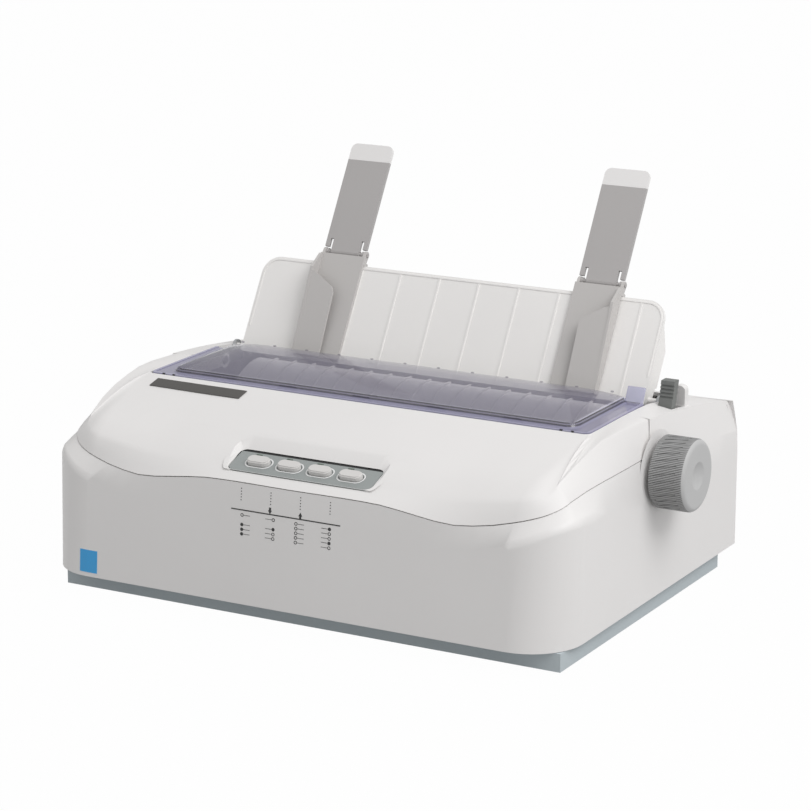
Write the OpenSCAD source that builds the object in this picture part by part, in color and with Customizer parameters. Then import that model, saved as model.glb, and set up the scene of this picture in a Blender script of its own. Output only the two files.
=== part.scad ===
// Desktop dot matrix printer with a hinged front cover, a smoked window,
// a folding sheet guide and a push tractor behind the platen.
// X runs to the right, Y to the rear, Z up. The origin lies on the table,
// under the middle of the body.

/* [Body] */
// Width of the case
body_w = 400; // [384:2:430]
// Depth of the case
body_d = 290; // [282:2:310]
// Highest point of the deck over the table
deck_h = 138.5; // [136.5:0.5:142]
// Wall of the moulded covers
wall = 2.5; // [2:0.1:3.2]
// Radius of the front corners in plan
corner_r = 38; // [32:1:42]
// Radius of the rear corners in plan
rear_r = 3; // [2.5:0.5:8]
// Height of the lower edge of the case
skirt_z = 15; // [13:0.5:17]
// How far the front wall leans back up to the parting line
front_lean = 6; // [3:0.5:8]
// How far the deck falls from its highest point to the rear edge
deck_fall = 18.5; // [16:0.5:21]

/* [Parting line] */
// Height of the parting line in the middle of the front
rim_mid_z = 97.5; // [96:0.5:99]
// Height of its two dips
rim_dip_z = 91.5; // [90:0.5:93]
// Height of the parting line along the sides
rim_side_z = 114; // [112:0.5:116]
// Distance of the dips from the middle
dip_x = 120; // [114:1:126]
// Inset of the cover at the front corners, the widest part of the ledge
ledge_in = 10.5; // [8:0.5:11]
// Inset of the cover along the sides
side_in = 4; // [3:0.5:5]
// Height of the lower crease of the ledge at the corners
ledge_z = 98; // [95:0.5:99]
// Gap between the front cover and the case
split = 0.7; // [0.5:0.1:1]

/* [Front cover] */
// Front edge of the window opening, from the middle of the body
open_front = 46.4; // [44:0.2:50]
// Half width of the window opening
open_half = 173; // [168:0.5:175]
// Height of the deck at the edge of the window
open_z = 137; // [135.5:0.5:138]
// Inset of the soft ridge along the front
ridge_in = 12; // [11:0.5:14]
// Inset of the side crease of the deck
crease_in = 9.5; // [8.5:0.5:10.5]
// Place of the cover pivots behind the middle of the body
cover_pivot_y = 44; // [42:0.5:46]
// Height of the cover pivots
cover_pivot_z = 127.5; // [126.5:0.5:129]
// Radius of the cover pivot pins
cover_pin_r = 3; // [2.5:0.1:3.5]

/* [Window] */
// Gap between the window and its opening
window_gap = 0.8; // [0.5:0.1:1.2]
// Thickness of the window
window_t = 2; // [1.6:0.1:2.4]
// Height of the bubble over the flange
bubble_h = 9.5; // [7:0.5:11]
// Rear edge of the window behind the middle of the body
window_back = 42; // [38:0.5:44]
// Width of the lifting tabs at the rear corners
tab_w = 14; // [10:0.5:16]

/* [Control panel] */
// Distance between two buttons
button_pitch = 23.7; // [22:0.1:25]
// Length of a button
button_l = 17; // [15:0.5:18.5]
// Width of a button
button_w = 8.5; // [7:0.25:9]
// Travel of a button
button_travel = 1.2; // [0.8:0.1:1.4]
// Tilt of the panel plate, in degrees
panel_tilt = 20; // [18:0.5:22]

/* [Platen and knob] */
// Place of the platen axis behind the middle of the body
platen_y = 10.8; // [9:0.2:12.4]
// Height of the platen axis
platen_z = 102; // [101:0.2:103]
// Radius of the platen roller
platen_r = 14; // [12.5:0.25:14.5]
// Length of the platen roller
platen_l = 264; // [250:1:272]
// Radius of the platen shaft
shaft_r = 5; // [4:0.1:5.5]
// Radius of the knob
knob_r = 25; // [22:0.5:27]
// Length of the knob
knob_l = 26; // [20:0.5:30]
// Number of grip grooves round the knob
knob_grooves = 32; // [24:1:40]
// Running clearance of shafts in their bushes, on the radius
run_gap = 0.06; // [0.03:0.01:0.09]

/* [Gears] */
// Gear module
gear_m = 1; // [1:0.05:1.05]
// Teeth of the platen gear
platen_teeth = 40; // [36:1:42]
// Teeth of the idler
idler_teeth = 46; // [44:1:48]
// Teeth of the tractor gear
tractor_teeth = 32; // [32:1:36]
// Teeth of the motor pinion
pinion_teeth = 14; // [12:1:16]
// Thickness of the gears
gear_w = 5; // [4:0.5:6]

/* [Frame] */
// Distance from the middle to the inner face of a side frame
frame_in = 146; // [143:0.5:149]
// Thickness of the side frames
frame_t = 2; // [1.5:0.1:2.5]
// Radius of the carriage shaft
rail_r = 5; // [4:0.1:6]
// Place of the carriage shaft in front of the middle
rail_y = 40; // [38:0.5:42]
// Height of the carriage shaft
rail_z = 72; // [70:0.5:74]

/* [Tractors] */
// Place of the tractor shaft behind the middle
tractor_y = 92; // [91:0.2:92.6]
// Height of the tractor shaft
tractor_z = 92; // [91:0.2:93]
// Distance of each tractor from the middle
tractor_x = 108; // [95:1:112]
// Feed pitch of the paper holes
hole_pitch = 12.7; // [12.7:0.1:12.7]
// Pins on a sprocket
sprocket_pins = 6; // [5:1:6]

/* [Sheet guide] */
// Half width of the sheet guide
guide_half = 163.3; // [156:0.5:165]
// Length of the sheet guide along its slope
guide_l = 75.3; // [70:0.5:80]
// Lean of the sheet guide from the table, in degrees
guide_lean = 59.4; // [57:0.2:62]
// Thickness of the sheet guide
guide_t = 2.5; // [2:0.1:3]
// Distance between the raised lines on the sheet guide
guide_rib_pitch = 32; // [26:1:40]
// Place of the lower edge of its face behind the middle
guide_y = 61; // [60:0.5:62.5]
// Height of the lower edge of its face
guide_z = 131.2; // [130.5:0.1:132]
// Width of an edge guide
edge_w = 37; // [32:0.5:42]
// Middle of the left edge guide, from the middle of the body
edge_left_x = -98.3; // [-104:0.5:-90]
// Middle of the right edge guide
edge_right_x = 109.4; // [100:0.5:114]
// Length of a support arm with its tip
arm_l = 90; // [70:1:100]
// Width of a support arm
arm_w = 35; // [30:0.5:36]
// Length of the pale tip
arm_tip_l = 13; // [10:0.5:18]

/* [Base] */
// Height of the rubber feet
foot_h = 2; // [1.5:0.1:3]
// Radius of the rubber feet
foot_r = 9; // [7:0.5:11]
// Inset of the base tray at the front
tray_front_in = 14.5; // [12:0.5:18]
// Inset of the base tray at the rear
tray_back_in = 22; // [16:0.5:26]
// Inset of the base tray at the left
tray_left_in = 12; // [8:0.5:16]
// Inset of the base tray at the right
tray_right_in = 4.5; // [4:0.5:10]

/* [Hidden] */

hx = body_w / 2;
hy = body_d / 2;
seat = 0.3;                      // small gap between pieces that only rest on each other
case_white = [0.92, 0.91, 0.9];
guide_grey = [0.7, 0.69, 0.68];
steel = [0.72, 0.73, 0.75];
black = [0.12, 0.12, 0.13];
board_green = [0.12, 0.36, 0.2];

// ---------------------------------------------------------------- lines and outline

function mix(a, b, t) = a + (b - a) * t;
function clamp(v, lo, hi) = min(max(v, lo), hi);
function bend(a, c, b, t) = mix(mix(a, c, t), mix(c, b, t), t);

// Height at x of the smooth line through the points p
function piece_of(x, p, i = 0) = i >= len(p) - 2 || x < p[i + 1][0] ? i : piece_of(x, p, i + 1);
function slope_at(p, i) = i == 0 || i == len(p) - 1 ? 0
    : (p[i + 1][1] - p[i - 1][1]) / (p[i + 1][0] - p[i - 1][0]);
function smooth_at(x, p) = let (
    i = piece_of(x, p),
    h = p[i + 1][0] - p[i][0],
    t = clamp((x - p[i][0]) / h, 0, 1))
    p[i][1] * (1 + 2 * t) * (1 - t) * (1 - t) + p[i + 1][1] * t * t * (3 - 2 * t)
    + h * t * (1 - t) * ((1 - t) * slope_at(p, i) - t * slope_at(p, i + 1));

// Stations round the right half of the case: [x, y, normal x, normal y, arc length]
corner_x = hx - corner_r;
corner_y = hy - corner_r;
mid_s = corner_x + corner_r * PI / 4;
side_s = corner_x + corner_r * PI / 2;
seam_y = -1;                     // where the parting line ends at the side
seam_top_y = 12;                 // and where its slanted end reaches the deck
seam_s = side_s + seam_y + corner_y;
front_steps = 12;
corner_steps = 9;
side_steps = 6;
back_steps = 8;
function front_station(x) = [x, -hy, 0, -1, x];
function corner_station(a) =
    [corner_x + corner_r * sin(a), -corner_y - corner_r * cos(a), sin(a), -cos(a),
     corner_x + corner_r * a * PI / 180];
function side_station(y) = [hx, y, 1, 0, side_s + y + corner_y];
function rear_station(a) =
    [hx - rear_r + rear_r * cos(a), hy - rear_r + rear_r * sin(a), cos(a), sin(a), 900 + a];
front_half = concat(
    [for (i = [0:front_steps - 1]) front_station(corner_x * i / front_steps)],
    [for (i = [0:corner_steps]) corner_station(90 * i / corner_steps)],
    [for (i = [1:side_steps]) side_station(mix(-corner_y, seam_y, i / side_steps))]);
back_half = concat(
    [for (i = [1:back_steps]) side_station(mix(seam_top_y + 4, hy - rear_r, i / back_steps))],
    [for (i = [1:3]) rear_station(30 * i)],
    [for (i = [1:4]) [(hx - rear_r) * (1 - i / 4), hy, 0, 1, 1000]]);
function flip(st) = [-st[0], st[1], -st[2], st[3], st[4]];
function reversed(v) = [for (i = [len(v) - 1:-1:0]) v[i]];
function flipped(v) = [for (st = v) flip(st)];

// A point of the outer surface: inset in from the outline, at height z
function lean_at(st, z) = front_lean * (z - skirt_z) / (rim_mid_z - skirt_z) * max(0, -st[3]);
function at(st, inset, z) =
    [st[0] - st[2] * inset, st[1] - st[3] * inset + lean_at(st, z), z];

// Wavy lines along the outline
rim_line = [[0, rim_mid_z], [dip_x - 55, rim_mid_z], [dip_x - 25, rim_dip_z + 2.6],
    [dip_x, rim_dip_z], [corner_x - 17, rim_dip_z + 2.4], [corner_x, rim_dip_z + 6],
    [mid_s, rim_dip_z + 11.5], [side_s, rim_side_z - 5.2], [side_s + 13, rim_side_z - 3.2],
    [side_s + 33, rim_side_z - 1.3], [seam_s, rim_side_z]];
rim_inset = [[0, 0.8], [dip_x - 10, 0.8], [corner_x - 20, 4], [corner_x + 8, ledge_in - 2],
    [mid_s + 5, ledge_in], [side_s, ledge_in - 0.7], [side_s + 13, ledge_in - 2.2],
    [side_s + 33, side_in + 2.2], [side_s + 68, side_in + 0.4], [seam_s, side_in]];
crease_line = [[0, ledge_z - 22], [dip_x + 4, ledge_z - 22], [corner_x - 14, ledge_z - 17],
    [corner_x + 9, ledge_z - 10], [mid_s, ledge_z - 2.5], [side_s - 8, ledge_z],
    [side_s + 19, ledge_z - 2], [side_s + 56, ledge_z - 7], [side_s + 95, ledge_z - 14],
    [seam_s + 8, ledge_z - 15]];
function rim_z(st) = smooth_at(st[4], rim_line);
function rim_in(st) = smooth_at(st[4], rim_inset);
function crease_z(st) = smooth_at(st[4], crease_line);

// The deck: its side crease and its inner edge, by their distance y behind the middle
deck_top_y = -55;
deck_end_y = 141.5;
function deck_z(y) = deck_h - deck_fall * pow((y - deck_top_y) / (deck_end_y - deck_top_y), 2);
deck_in_line = [[-open_front, open_z], [45, open_z - 0.4], [80, open_z - 5.5],
    [115, open_z - 11], [deck_end_y, deck_h - deck_fall]];
function deck_in_z(y) = smooth_at(y, deck_in_line);
deck_slot_y = 118;               // rear edge of the opening for continuous paper

// Triangles of a plate between an outer and an inner grid of points. Row k of station i is
// point i * rows + k, and the inner points follow the outer ones. open_rows(i) rows are used
// between stations i and i + 1.
function quad(a, b, c, d) = [[a, b, c], [a, c, d]];
module plate_between(outer, inner, used, closed) {
    n = len(outer);
    rows = len(outer[0]);
    base = n * rows;
    last = closed ? n - 1 : n - 2;
    function o(i, k) = (i % n) * rows + k;
    function q(i, k) = base + o(i, k);
    skins = [for (i = [0:last]) for (k = [0:used[i] - 2]) each concat(
        quad(o(i, k), o(i, k + 1), o(i + 1, k + 1), o(i + 1, k)),
        quad(q(i, k), q(i + 1, k), q(i + 1, k + 1), q(i, k + 1)))];
    rims = [for (i = [0:last]) each concat(
        quad(o(i, 0), o(i + 1, 0), q(i + 1, 0), q(i, 0)),
        quad(o(i, used[i] - 1), q(i, used[i] - 1), q(i + 1, used[i] - 1),
             o(i + 1, used[i] - 1)))];
    // ends of the strip, and steps between stations that use a different number of rows
    before = [for (i = [0:n - 1]) i == 0 ? (closed ? used[n - 1] : 1) : used[i - 1]];
    after = [for (i = [0:n - 1]) !closed && i == n - 1 ? 1 : used[i]];
    rising = [for (i = [0:n - 1]) if (after[i] > before[i])
        for (k = [before[i] - 1:after[i] - 2])
        each quad(o(i, k), q(i, k), q(i, k + 1), o(i, k + 1))];
    falling = [for (i = [0:n - 1]) if (after[i] < before[i])
        for (k = [after[i] - 1:before[i] - 2])
        each quad(o(i, k), o(i, k + 1), q(i, k + 1), q(i, k))];
    polyhedron([for (s = outer) each s, for (s = inner) each s],
        concat(skins, rims, rising, falling), convexity = 12);
}

// Inner grid at the distance t behind an outer one, along its normals
function unit(v) = v / norm(v);
function across(grid, i, k, t) = let (
    n = len(grid), m = len(grid[0]),
    along = grid[min(i + 1, n - 1)][k] - grid[max(i - 1, 0)][k],
    up = grid[i][min(k + 1, m - 1)] - grid[i][max(k - 1, 0)])
    grid[i][k] - t * unit(cross(along, up));

// ---------------------------------------------------------------- small helpers

// A flat piece drawn in Y and Z, from x0 to x0 + t
module flat_yz(x0, t) translate([x0, 0, 0]) rotate([90, 0, 90]) linear_extrude(t) children();
// A round bar along X
module bar_x(x0, x1, y, z, r)
    translate([x0, y, z]) rotate([0, 90, 0]) cylinder(r = r, h = x1 - x0, $fn = 64);
module box(x0, x1, y0, y1, z0, z1) translate([x0, y0, z0]) cube([x1 - x0, y1 - y0, z1 - z0]);
// The same box on the right (s = 1) or mirrored to the left (s = -1)
module pair_box(s, x0, x1, y0, y1, z0, z1) box(s > 0 ? x0 : -x1, s > 0 ? x1 : -x0, y0, y1, z0, z1);
// A straight flat link with round ends
module link(a, b, w) {
    d = b - a;
    translate(a) circle(d = w, $fn = 48);
    translate(b) circle(d = w, $fn = 48);
    translate(a) rotate(atan2(d[1], d[0])) translate([0, -w / 2]) square([norm(d), w]);
}
module slot(l, w) {
    translate([-(l - w) / 2, -w / 2]) square([l - w, w]);
    for (s = [-1, 1]) translate([s * (l - w) / 2, 0]) circle(d = w, $fn = 48);
}
module round_rect(x0, x1, y0, y1, r) {
    translate([x0 + r, y0]) square([x1 - x0 - 2 * r, y1 - y0]);
    translate([x0, y0 + r]) square([x1 - x0, y1 - y0 - 2 * r]);
    for (x = [x0 + r, x1 - r]) for (y = [y0 + r, y1 - r]) translate([x, y]) circle(r, $fn = 48);
}
// Outline of a rounded rectangle with flat facets, r at the lower and r2 at the upper corners
function arc(cx, cy, r, a0, a1, n) =
    [for (i = [0:n]) let (a = mix(a0, a1, i / n)) [cx + r * cos(a), cy + r * sin(a)]];
function soft_rect(x0, x1, y0, y1, r, r2, n = 4) = concat(
    arc(x0 + r, y0 + r, r, 180, 270, n), arc(x1 - r, y0 + r, r, 270, 360, n),
    arc(x1 - r2, y1 - r2, r2, 0, 90, n), arc(x0 + r2, y1 - r2, r2, 90, 180, n));

// ---------------------------------------------------------------- base

tray_l = -hx + tray_left_in;
tray_r = hx - tray_right_in;
tray_f = -hy + tray_front_in;
tray_b = hy - tray_back_in;
floor_z = foot_h + wall;
flange_z = skirt_z + 0.5;        // the flange that the case stands round
flange_top = flange_z + 2;
module inside_case() polygon(soft_rect(-hx + wall + 0.4, hx - wall - 0.4, -hy + wall + 1, hy - wall - 0.4,
    corner_r - wall, rear_r, 6));

module base_tray() color([0.66, 0.7, 0.72]) {
    difference() {
        union() {
            box(tray_l, tray_r, tray_f, tray_b, foot_h, skirt_z - seat);
            // the walls go on upwards inside the case
            translate([0, 0, skirt_z - seat - 0.1]) linear_extrude(flange_top - skirt_z + seat + 0.1) intersection() {
                inside_case();
                translate([tray_l, tray_f]) square([tray_r - tray_l, tray_b - tray_f]);
            }
            translate([0, 0, flange_z]) linear_extrude(2) inside_case();
        }
        box(tray_l + wall, tray_r - wall, tray_f + wall, tray_b - wall, floor_z, flange_z + 3);
        // air slots in the floor
        for (i = [0:9]) box(-150 + 9 * i, -146 + 9 * i, 60, 100, 0, floor_z + 1);
        for (i = [0:9]) box(60 + 9 * i, 64 + 9 * i, -90, -50, 0, floor_z + 1);
    }
    // standing ribs that carry the mechanism
    for (s = [-1, 1]) pair_box(s, frame_out + 12.6, frame_out + 15, -70, 70, floor_z, floor_z + 8);
}

module rubber_feet() color(black)
    for (x = [tray_l + 18, tray_r - 18]) for (y = [tray_f + 18, tray_b - 18])
        translate([x, y, 0]) cylinder(r = foot_r, h = foot_h, $fn = 48);

// ---------------------------------------------------------------- case

case_back = concat(back_half, reversed(flipped([for (i = [0:len(back_half) - 2]) back_half[i]])));
case_stations = concat(front_half, case_back, reversed(flipped([for (i = [1:len(front_half) - 1]) front_half[i]])));
front_count = len(front_half);
back_count = len(case_back);

// Height and inset of the upper wall behind the seam
function back_z(st) = st[3] > 0 ? 98 : mix(rim_side_z, 98, clamp((st[1] - seam_y) / (hy - rear_r), 0, 1));
function back_in(st) = st[3] > 0 ? mix(1, 0, st[3]) : mix(side_in, 1, clamp((st[1] - seam_y) / (hy - rear_r), 0, 1));
function crease_in_at(st) = crease_in - mix(0, 3.2, clamp((st[1] - 20) / (hy - 20), 0, 1));
function deck_point(st, inset, z_off, shift) = let (p = at(st, inset, 0)) [p[0], p[1] + shift, deck_z(p[1] + shift) + z_off];
function opening_point(st, shift) = let (
    x = st[3] == 0 ? open_half : st[3] == 1 ? abs(st[0]) * (open_half - 3) / (hx - rear_r) : open_half - 3 + 3 * abs(st[2]),
    y = st[3] == 0 ? min(st[1] + shift, deck_slot_y - 3 - 0.02 * (hy - rear_r - st[1])) : deck_slot_y - 3 + 3 * st[3])
    [st[0] < 0 ? -x : x, y, deck_in_z(y)];

function case_outer(st, back) = let (
    seam = st[3] == 0 && abs(st[1] - seam_y) < 0.01,
    shift = seam ? seam_top_y - seam_y : 0,
    z2 = back && !seam ? back_z(st) : rim_z(st),
    in2 = back && !seam ? back_in(st) : rim_in(st))
    [at(st, 0, skirt_z), at(st, 0, back && !seam ? 83 : crease_z(st)), at(st, in2, z2),
     back || seam ? deck_point(st, crease_in_at(st), 0, shift) : at(st, in2, z2 + 1),
     back || seam ? opening_point(st, shift) : at(st, in2, z2 + 2)];
function case_inner(st, back) = let (
    seam = st[3] == 0 && abs(st[1] - seam_y) < 0.01,
    shift = seam ? seam_top_y - seam_y : 0,
    o = case_outer(st, back))
    [at(st, wall, skirt_z), at(st, wall, o[1][2]),
     at(st, (back && !seam ? back_in(st) : rim_in(st)) + wall, o[2][2]),
     back || seam ? deck_point(st, crease_in_at(st) + wall * 0.8, -wall, shift) : at(st, wall + 1, o[2][2] + 1),
     back || seam ? o[4] - [0, 0, wall] : at(st, wall + 1, o[2][2] + 2)];

// facets of a round boss or hole in a side wall, in Y and Z
module ring_yz(x0, t, y, z, r, n = 36) flat_yz(x0, t) polygon(arc(y, z, r, 0, 360 - 360 / n, n - 1));

module main_case() color(case_white) {
    in_back = [for (i = [0:len(case_stations) - 1]) i >= front_count && i < front_count + back_count];
    used = [for (i = [0:len(case_stations) - 1])
        i >= front_count - 1 && i < front_count + back_count ? 5 : 3];
    difference() {
        union() {
            plate_between(
                [for (i = [0:len(case_stations) - 1]) case_outer(case_stations[i], in_back[i])],
                [for (i = [0:len(case_stations) - 1]) case_inner(case_stations[i], in_back[i])],
                used, true);
            // shallow round boss behind the knob
            ring_yz(hx - wall - 0.5, wall + 0.7, platen_y, platen_z, knob_r + 3);
            // little wall behind the release lever
            translate([lever_x0 + 3, guard_y + 6, deck_z(guard_y) - 3]) rotate([90, 0, 0]) linear_extrude(6)
                polygon(soft_rect(0, 8.5, 0, 17.5, 0.1, 3.5));
        }
        // hole for the platen shaft
        ring_yz(hx - 12, 20, platen_y, platen_z, shaft_r + 2, 24);
        // slot for the release lever
        box(lever_x0 - 0.6, lever_x0 + lever_w + 0.6, lever_y0 - 0.8, guard_y - 0.5, 120, deck_h + 10);
        // openings in the rear wall
        box(inlet_x - 14.3, switch_x + 10.3, hy - 8, hy + 2, inlet_z - 10.3, inlet_z + 10.3);
        box(port_x - 33, port_x + 33, hy - 8, hy + 2, port_z - 8.5, port_z + 8.5);
        box(usb_x - 7, usb_x + 7, hy - 8, hy + 2, port_z - 6.5, port_z + 6.5);
        for (i = [0:11]) box(-64 + 8 * i, -60 + 8 * i, hy - 8, hy + 2, 50, 84);
    }
}

// ---------------------------------------------------------------- front cover

ridge_line = [[0, rim_mid_z + 8], [corner_x - 52, rim_mid_z + 8.3], [corner_x - 27, rim_mid_z + 11.2],
    [corner_x + 10, rim_mid_z + 16], [mid_s, rim_mid_z + 17.3], [mid_s + 15, rim_mid_z + 19.6],
    [side_s, deck_h - 18.5], [side_s + 13, deck_h - 12.6], [side_s + 28, deck_h - 7.8],
    [side_s + 51, deck_h - 2.6], [side_s + 76, deck_h - 0.5], [seam_s + 60, deck_h - 0.3]];
ridge_inset = [[0, ridge_in], [corner_x - 10, ridge_in], [mid_s, ridge_in + 5.5],
    [mid_s + 15, ridge_in + 7.5], [side_s, ridge_in + 7.5], [side_s + 13, ridge_in + 5.5],
    [side_s + 28, ridge_in + 3.5], [side_s + 51, ridge_in + 2.5], [side_s + 76, crease_in + 2],
    [seam_s, crease_in + 0.8], [seam_s + 60, crease_in]];
cover_half = front_half;
cover_stations = concat(reversed(flipped([for (i = [1:len(cover_half) - 1]) cover_half[i]])), cover_half);
open_corner = 5;
function ridge_at(st, seam) = let (
    p = at(st, smooth_at(st[4], ridge_inset), smooth_at(st[4], ridge_line)),
    y = seam ? seam_top_y - split : p[1])
    [p[0], y, st[3] == 0 ? min(p[2], deck_z(y)) : p[2]];
function opening_at(st, seam) = let (
    a = st[2] < 0 ? -1 : 1,
    side = mix(-open_front + open_corner, seam_top_y - split, clamp((st[1] + corner_y) / (seam_y + corner_y), 0, 1)))
    st[3] == -1 ? [st[0] * (open_half - open_corner) / corner_x, -open_front, open_z]
    : st[3] == 0 ? [a * open_half, side, deck_in_z(side)]
    : [a * (open_half - open_corner) + open_corner * st[2], -open_front + open_corner + open_corner * st[3], open_z];
top_slope = 0.2;                 // slope of the dome where it meets the window

function cover_column(st) = let (
    seam = st[3] == 0 && abs(st[1] - seam_y) < 0.01,
    front = max(0, -st[3]),
    r0 = at(st, rim_in(st), rim_z(st) + split) - [0, seam ? split : 0, 0],
    rg = ridge_at(st, seam),
    e = opening_at(st, seam),
    down = unit(r0 - rg),
    inward = unit(e - rg),
    low = rg + mix(2, 3.5, front) * down,
    high = rg + mix(3, 14, front) * inward + [0, 0, 3.4 * front],
    c = mix(high, e, 0.57),
    cc = [c[0], c[1], e[2] - top_slope * front * norm([e[0] - c[0], e[1] - c[1]]) + 0.3 * (1 - front)],
    mid = mix(r0, low, 0.5) + 0.4 * [st[2], st[3], 0])
    [r0, mid, low, mix(mix(low, high, 0.35), rg, 0.6), high,
     bend(high, cc, e, 0.22), bend(high, cc, e, 0.45), bend(high, cc, e, 0.72), e];

cover_grid = [for (st = cover_stations) cover_column(st)];
cover_grid_in = [for (i = [0:len(cover_grid) - 1]) [for (k = [0:8])
    k == 0 ? at(cover_stations[i], rim_in(cover_stations[i]) + wall, cover_grid[i][0][2]) - [0, cover_stations[i][1] - seam_y == 0 ? split : 0, 0]
    : k == 8 ? cover_grid[i][8] - [0, 0, wall]
    : across(cover_grid, i, k, wall)]];

// Recess round the control panel: a sloping wall from the cover down to the panel plate
recess_half = 60;
recess_y = -131.5;
recess_z = rim_mid_z + 6.3;
recess_tilt = 27.3;
recess_l = 37;
opening_half = 55.5;
opening_l = 22.8;
module recess_top(z, grow) translate([0, recess_y, recess_z]) rotate([recess_tilt, 0, 0])
    translate([0, 0, z]) linear_extrude(0.1)
    polygon(soft_rect(-recess_half - grow, recess_half + grow, 1.5 - grow, recess_l + grow, 6, 11 + grow));
module recess_bottom(z, grow) on_panel() translate([0, 0, z]) linear_extrude(0.1)
    polygon(soft_rect(-opening_half - grow, opening_half + grow, -1.3 - grow, opening_l + grow, 5, 5 + grow));
module funnel(grow, z1) hull() {
    recess_top(z1, grow);
    recess_bottom(panel_gap, grow);
}

module front_cover() color(case_white) difference() {
    union() {
        plate_between(cover_grid, cover_grid_in,
            [for (i = [0:len(cover_grid) - 1]) 9], false);
        intersection() {
            funnel(2, 0.9);
            translate([0, recess_y, recess_z]) rotate([recess_tilt, 0, 0])
                translate([-80, 0, -9]) cube([160, recess_l + 6, 9.1]);
        }
        // ears with the window pins, and rests under its flange
        for (s = [-1, 1]) bar_x(s * window_pin_x - 4, s * window_pin_x + 4, window_pin_y, window_pin_z, window_pin_r);
        for (s = [-1, 1]) for (d = [-1, 1])
            box(s * window_pin_x + d * 4.2 - 1, s * window_pin_x + d * 4.2 + 1, -open_front - 1.6,
                window_pin_y + 2.2, window_pin_z - 4.5, open_z - 0.4);
        for (s = [-1, 1]) {
            pair_box(s, window_half - 4, open_half + 5, -12, -2, open_z - 5, open_z - window_t - seat);
            pair_box(s, open_half + 0.3, open_half + 5, -12, -2, open_z - 4, open_z - wall + 1.4);
        }
        // bosses under the side strips, which carry the pivot arms
        for (s = [-1, 1]) {
            pair_box(s, arm_x0, arm_x0 + 12, -34, -14, cover_pivot_z + 2.1, open_z - window_t - 0.4);
            pair_box(s, open_half + 0.3, arm_x0 + 12, -34, -14, open_z - window_t - 1, open_z - wall + 1.4);
        }
    }
    funnel(0, 1.6);
    hull() {
        recess_bottom(panel_gap, 0);
        recess_bottom(-7, 0);
    }
}

// Arms under the cover that swing on the pivot pins
arm_x0 = open_half - 7;
arm_t = 4;
module cover_arms() color(case_white) for (s = [-1, 1]) flat_yz(s > 0 ? arm_x0 : -arm_x0 - arm_t, arm_t)
    difference() {
        union() {
            link([cover_pivot_y, cover_pivot_z], [-10, cover_pivot_z], 8);
            translate([-34, cover_pivot_z - 4]) square([24, 5.8]);
            translate([cover_pivot_y, cover_pivot_z]) circle(6, $fn = 48);
        }
        translate([cover_pivot_y, cover_pivot_z]) circle(cover_pin_r + run_gap, $fn = 64);
    }

// Brackets on the inner edges of the deck: pin of the cover, bore for the sheet guide
bracket_t = 2;
module hinge_brackets() color(steel) for (s = [-1, 1]) {
    flat_yz(s > 0 ? open_half - bracket_t - 0.3 : -open_half + 0.3, bracket_t) difference() {
        union() {
            translate([cover_pivot_y - 7, cover_pivot_z - 6]) square([guide_pivot_y - cover_pivot_y + 14, 10.5]);
            translate([guide_pivot_y, guide_pivot_z]) circle(5, $fn = 48);
        }
        translate([guide_pivot_y, guide_pivot_z]) circle(guide_pin_r + run_gap, $fn = 64);
    }
    bar_x(s > 0 ? arm_x0 - 1 : -open_half + bracket_t, s > 0 ? open_half - bracket_t : -arm_x0 + 1,
        cover_pivot_y, cover_pivot_z, cover_pin_r);
}

// ---------------------------------------------------------------- window

window_pin_x = 157;
window_pin_y = -open_front + 3.6;
window_pin_z = open_z - 1.4;
window_pin_r = 1.2;
window_half = open_half - window_gap;
window_front = -open_front + 1;
bubble_half = window_half - 11;
bubble_front = -17;
function bubble(y) = let (t = (y - bubble_front) / (window_back - bubble_front))
    t <= 0 ? 0 : t < 0.65 ? 1 - pow(1 - t / 0.65, 2) : 1 - 0.36 * pow((t - 0.65) / 0.35, 2);
function bubble_end(x) = let (t = clamp((bubble_half - abs(x)) / 9, 0, 1)) 1 - pow(1 - t, 2);
function window_z(x, y) = open_z + bubble_h * bubble(y) * bubble_end(x);
window_xs = concat([for (x = [window_half, window_half - 3, bubble_half, bubble_half - 1, bubble_half - 3, bubble_half - 6, bubble_half - 9,
    bubble_half - 40]) -x], [0], [for (x = [bubble_half - 40, bubble_half - 9, bubble_half - 6, bubble_half - 3, bubble_half - 1, bubble_half, window_half - 3, window_half]) x]);
window_ys = [window_front, window_front + 3, bubble_front, bubble_front + 2, bubble_front + 6,
    bubble_front + 12, bubble_front + 19, bubble_front + 27, bubble_front + 36, bubble_front + 47, window_back];
window_grid = [for (x = window_xs) [for (y = window_ys) [x, y, window_z(x, y)]]];

module window_cover() color([0.42, 0.4, 0.55, 0.55]) difference() {
    union() {
        intersection() {
            plate_between(window_grid, [for (c = window_grid) [for (p = c) p - [0, 0, window_t]]],
                [for (x = window_xs) len(window_ys)], false);
            translate([0, 0, open_z - 5]) linear_extrude(30)
                polygon(soft_rect(-window_half, window_half, window_front, window_back, 5.5, 3));
        }
        for (s = [-1, 1]) {
            // lug on the pin
            bar_x(s * window_pin_x - 2.9, s * window_pin_x + 2.9, window_pin_y, window_pin_z, 1.75);
            // lifting tab at the rear corner
            translate([0, window_back - 2, open_z - 1.5]) rotate([-26, 0, 0]) rotate([90, 0, 0])
                translate([0, 0, -2]) linear_extrude(2) polygon([[s * (window_half - 9), 0],
                    [s * (window_half - 1), 0], [s * window_half, 10.5], [s * (window_half - 1.7), 12.8],
                    [s * (window_half - tab_w + 1.8), 12.8], [s * (window_half - tab_w), 10.5]]);
        }
    }
    for (s = [-1, 1]) {
        bar_x(s * window_pin_x - 4, s * window_pin_x + 4, window_pin_y, window_pin_z, window_pin_r + run_gap);
        for (d = [-1, 1]) box(s * window_pin_x + d * 4.2 - 1.3, s * window_pin_x + d * 4.2 + 1.3,
            window_front - 1, window_pin_y + 3, open_z - 6, open_z + 2);
    }
}

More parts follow.
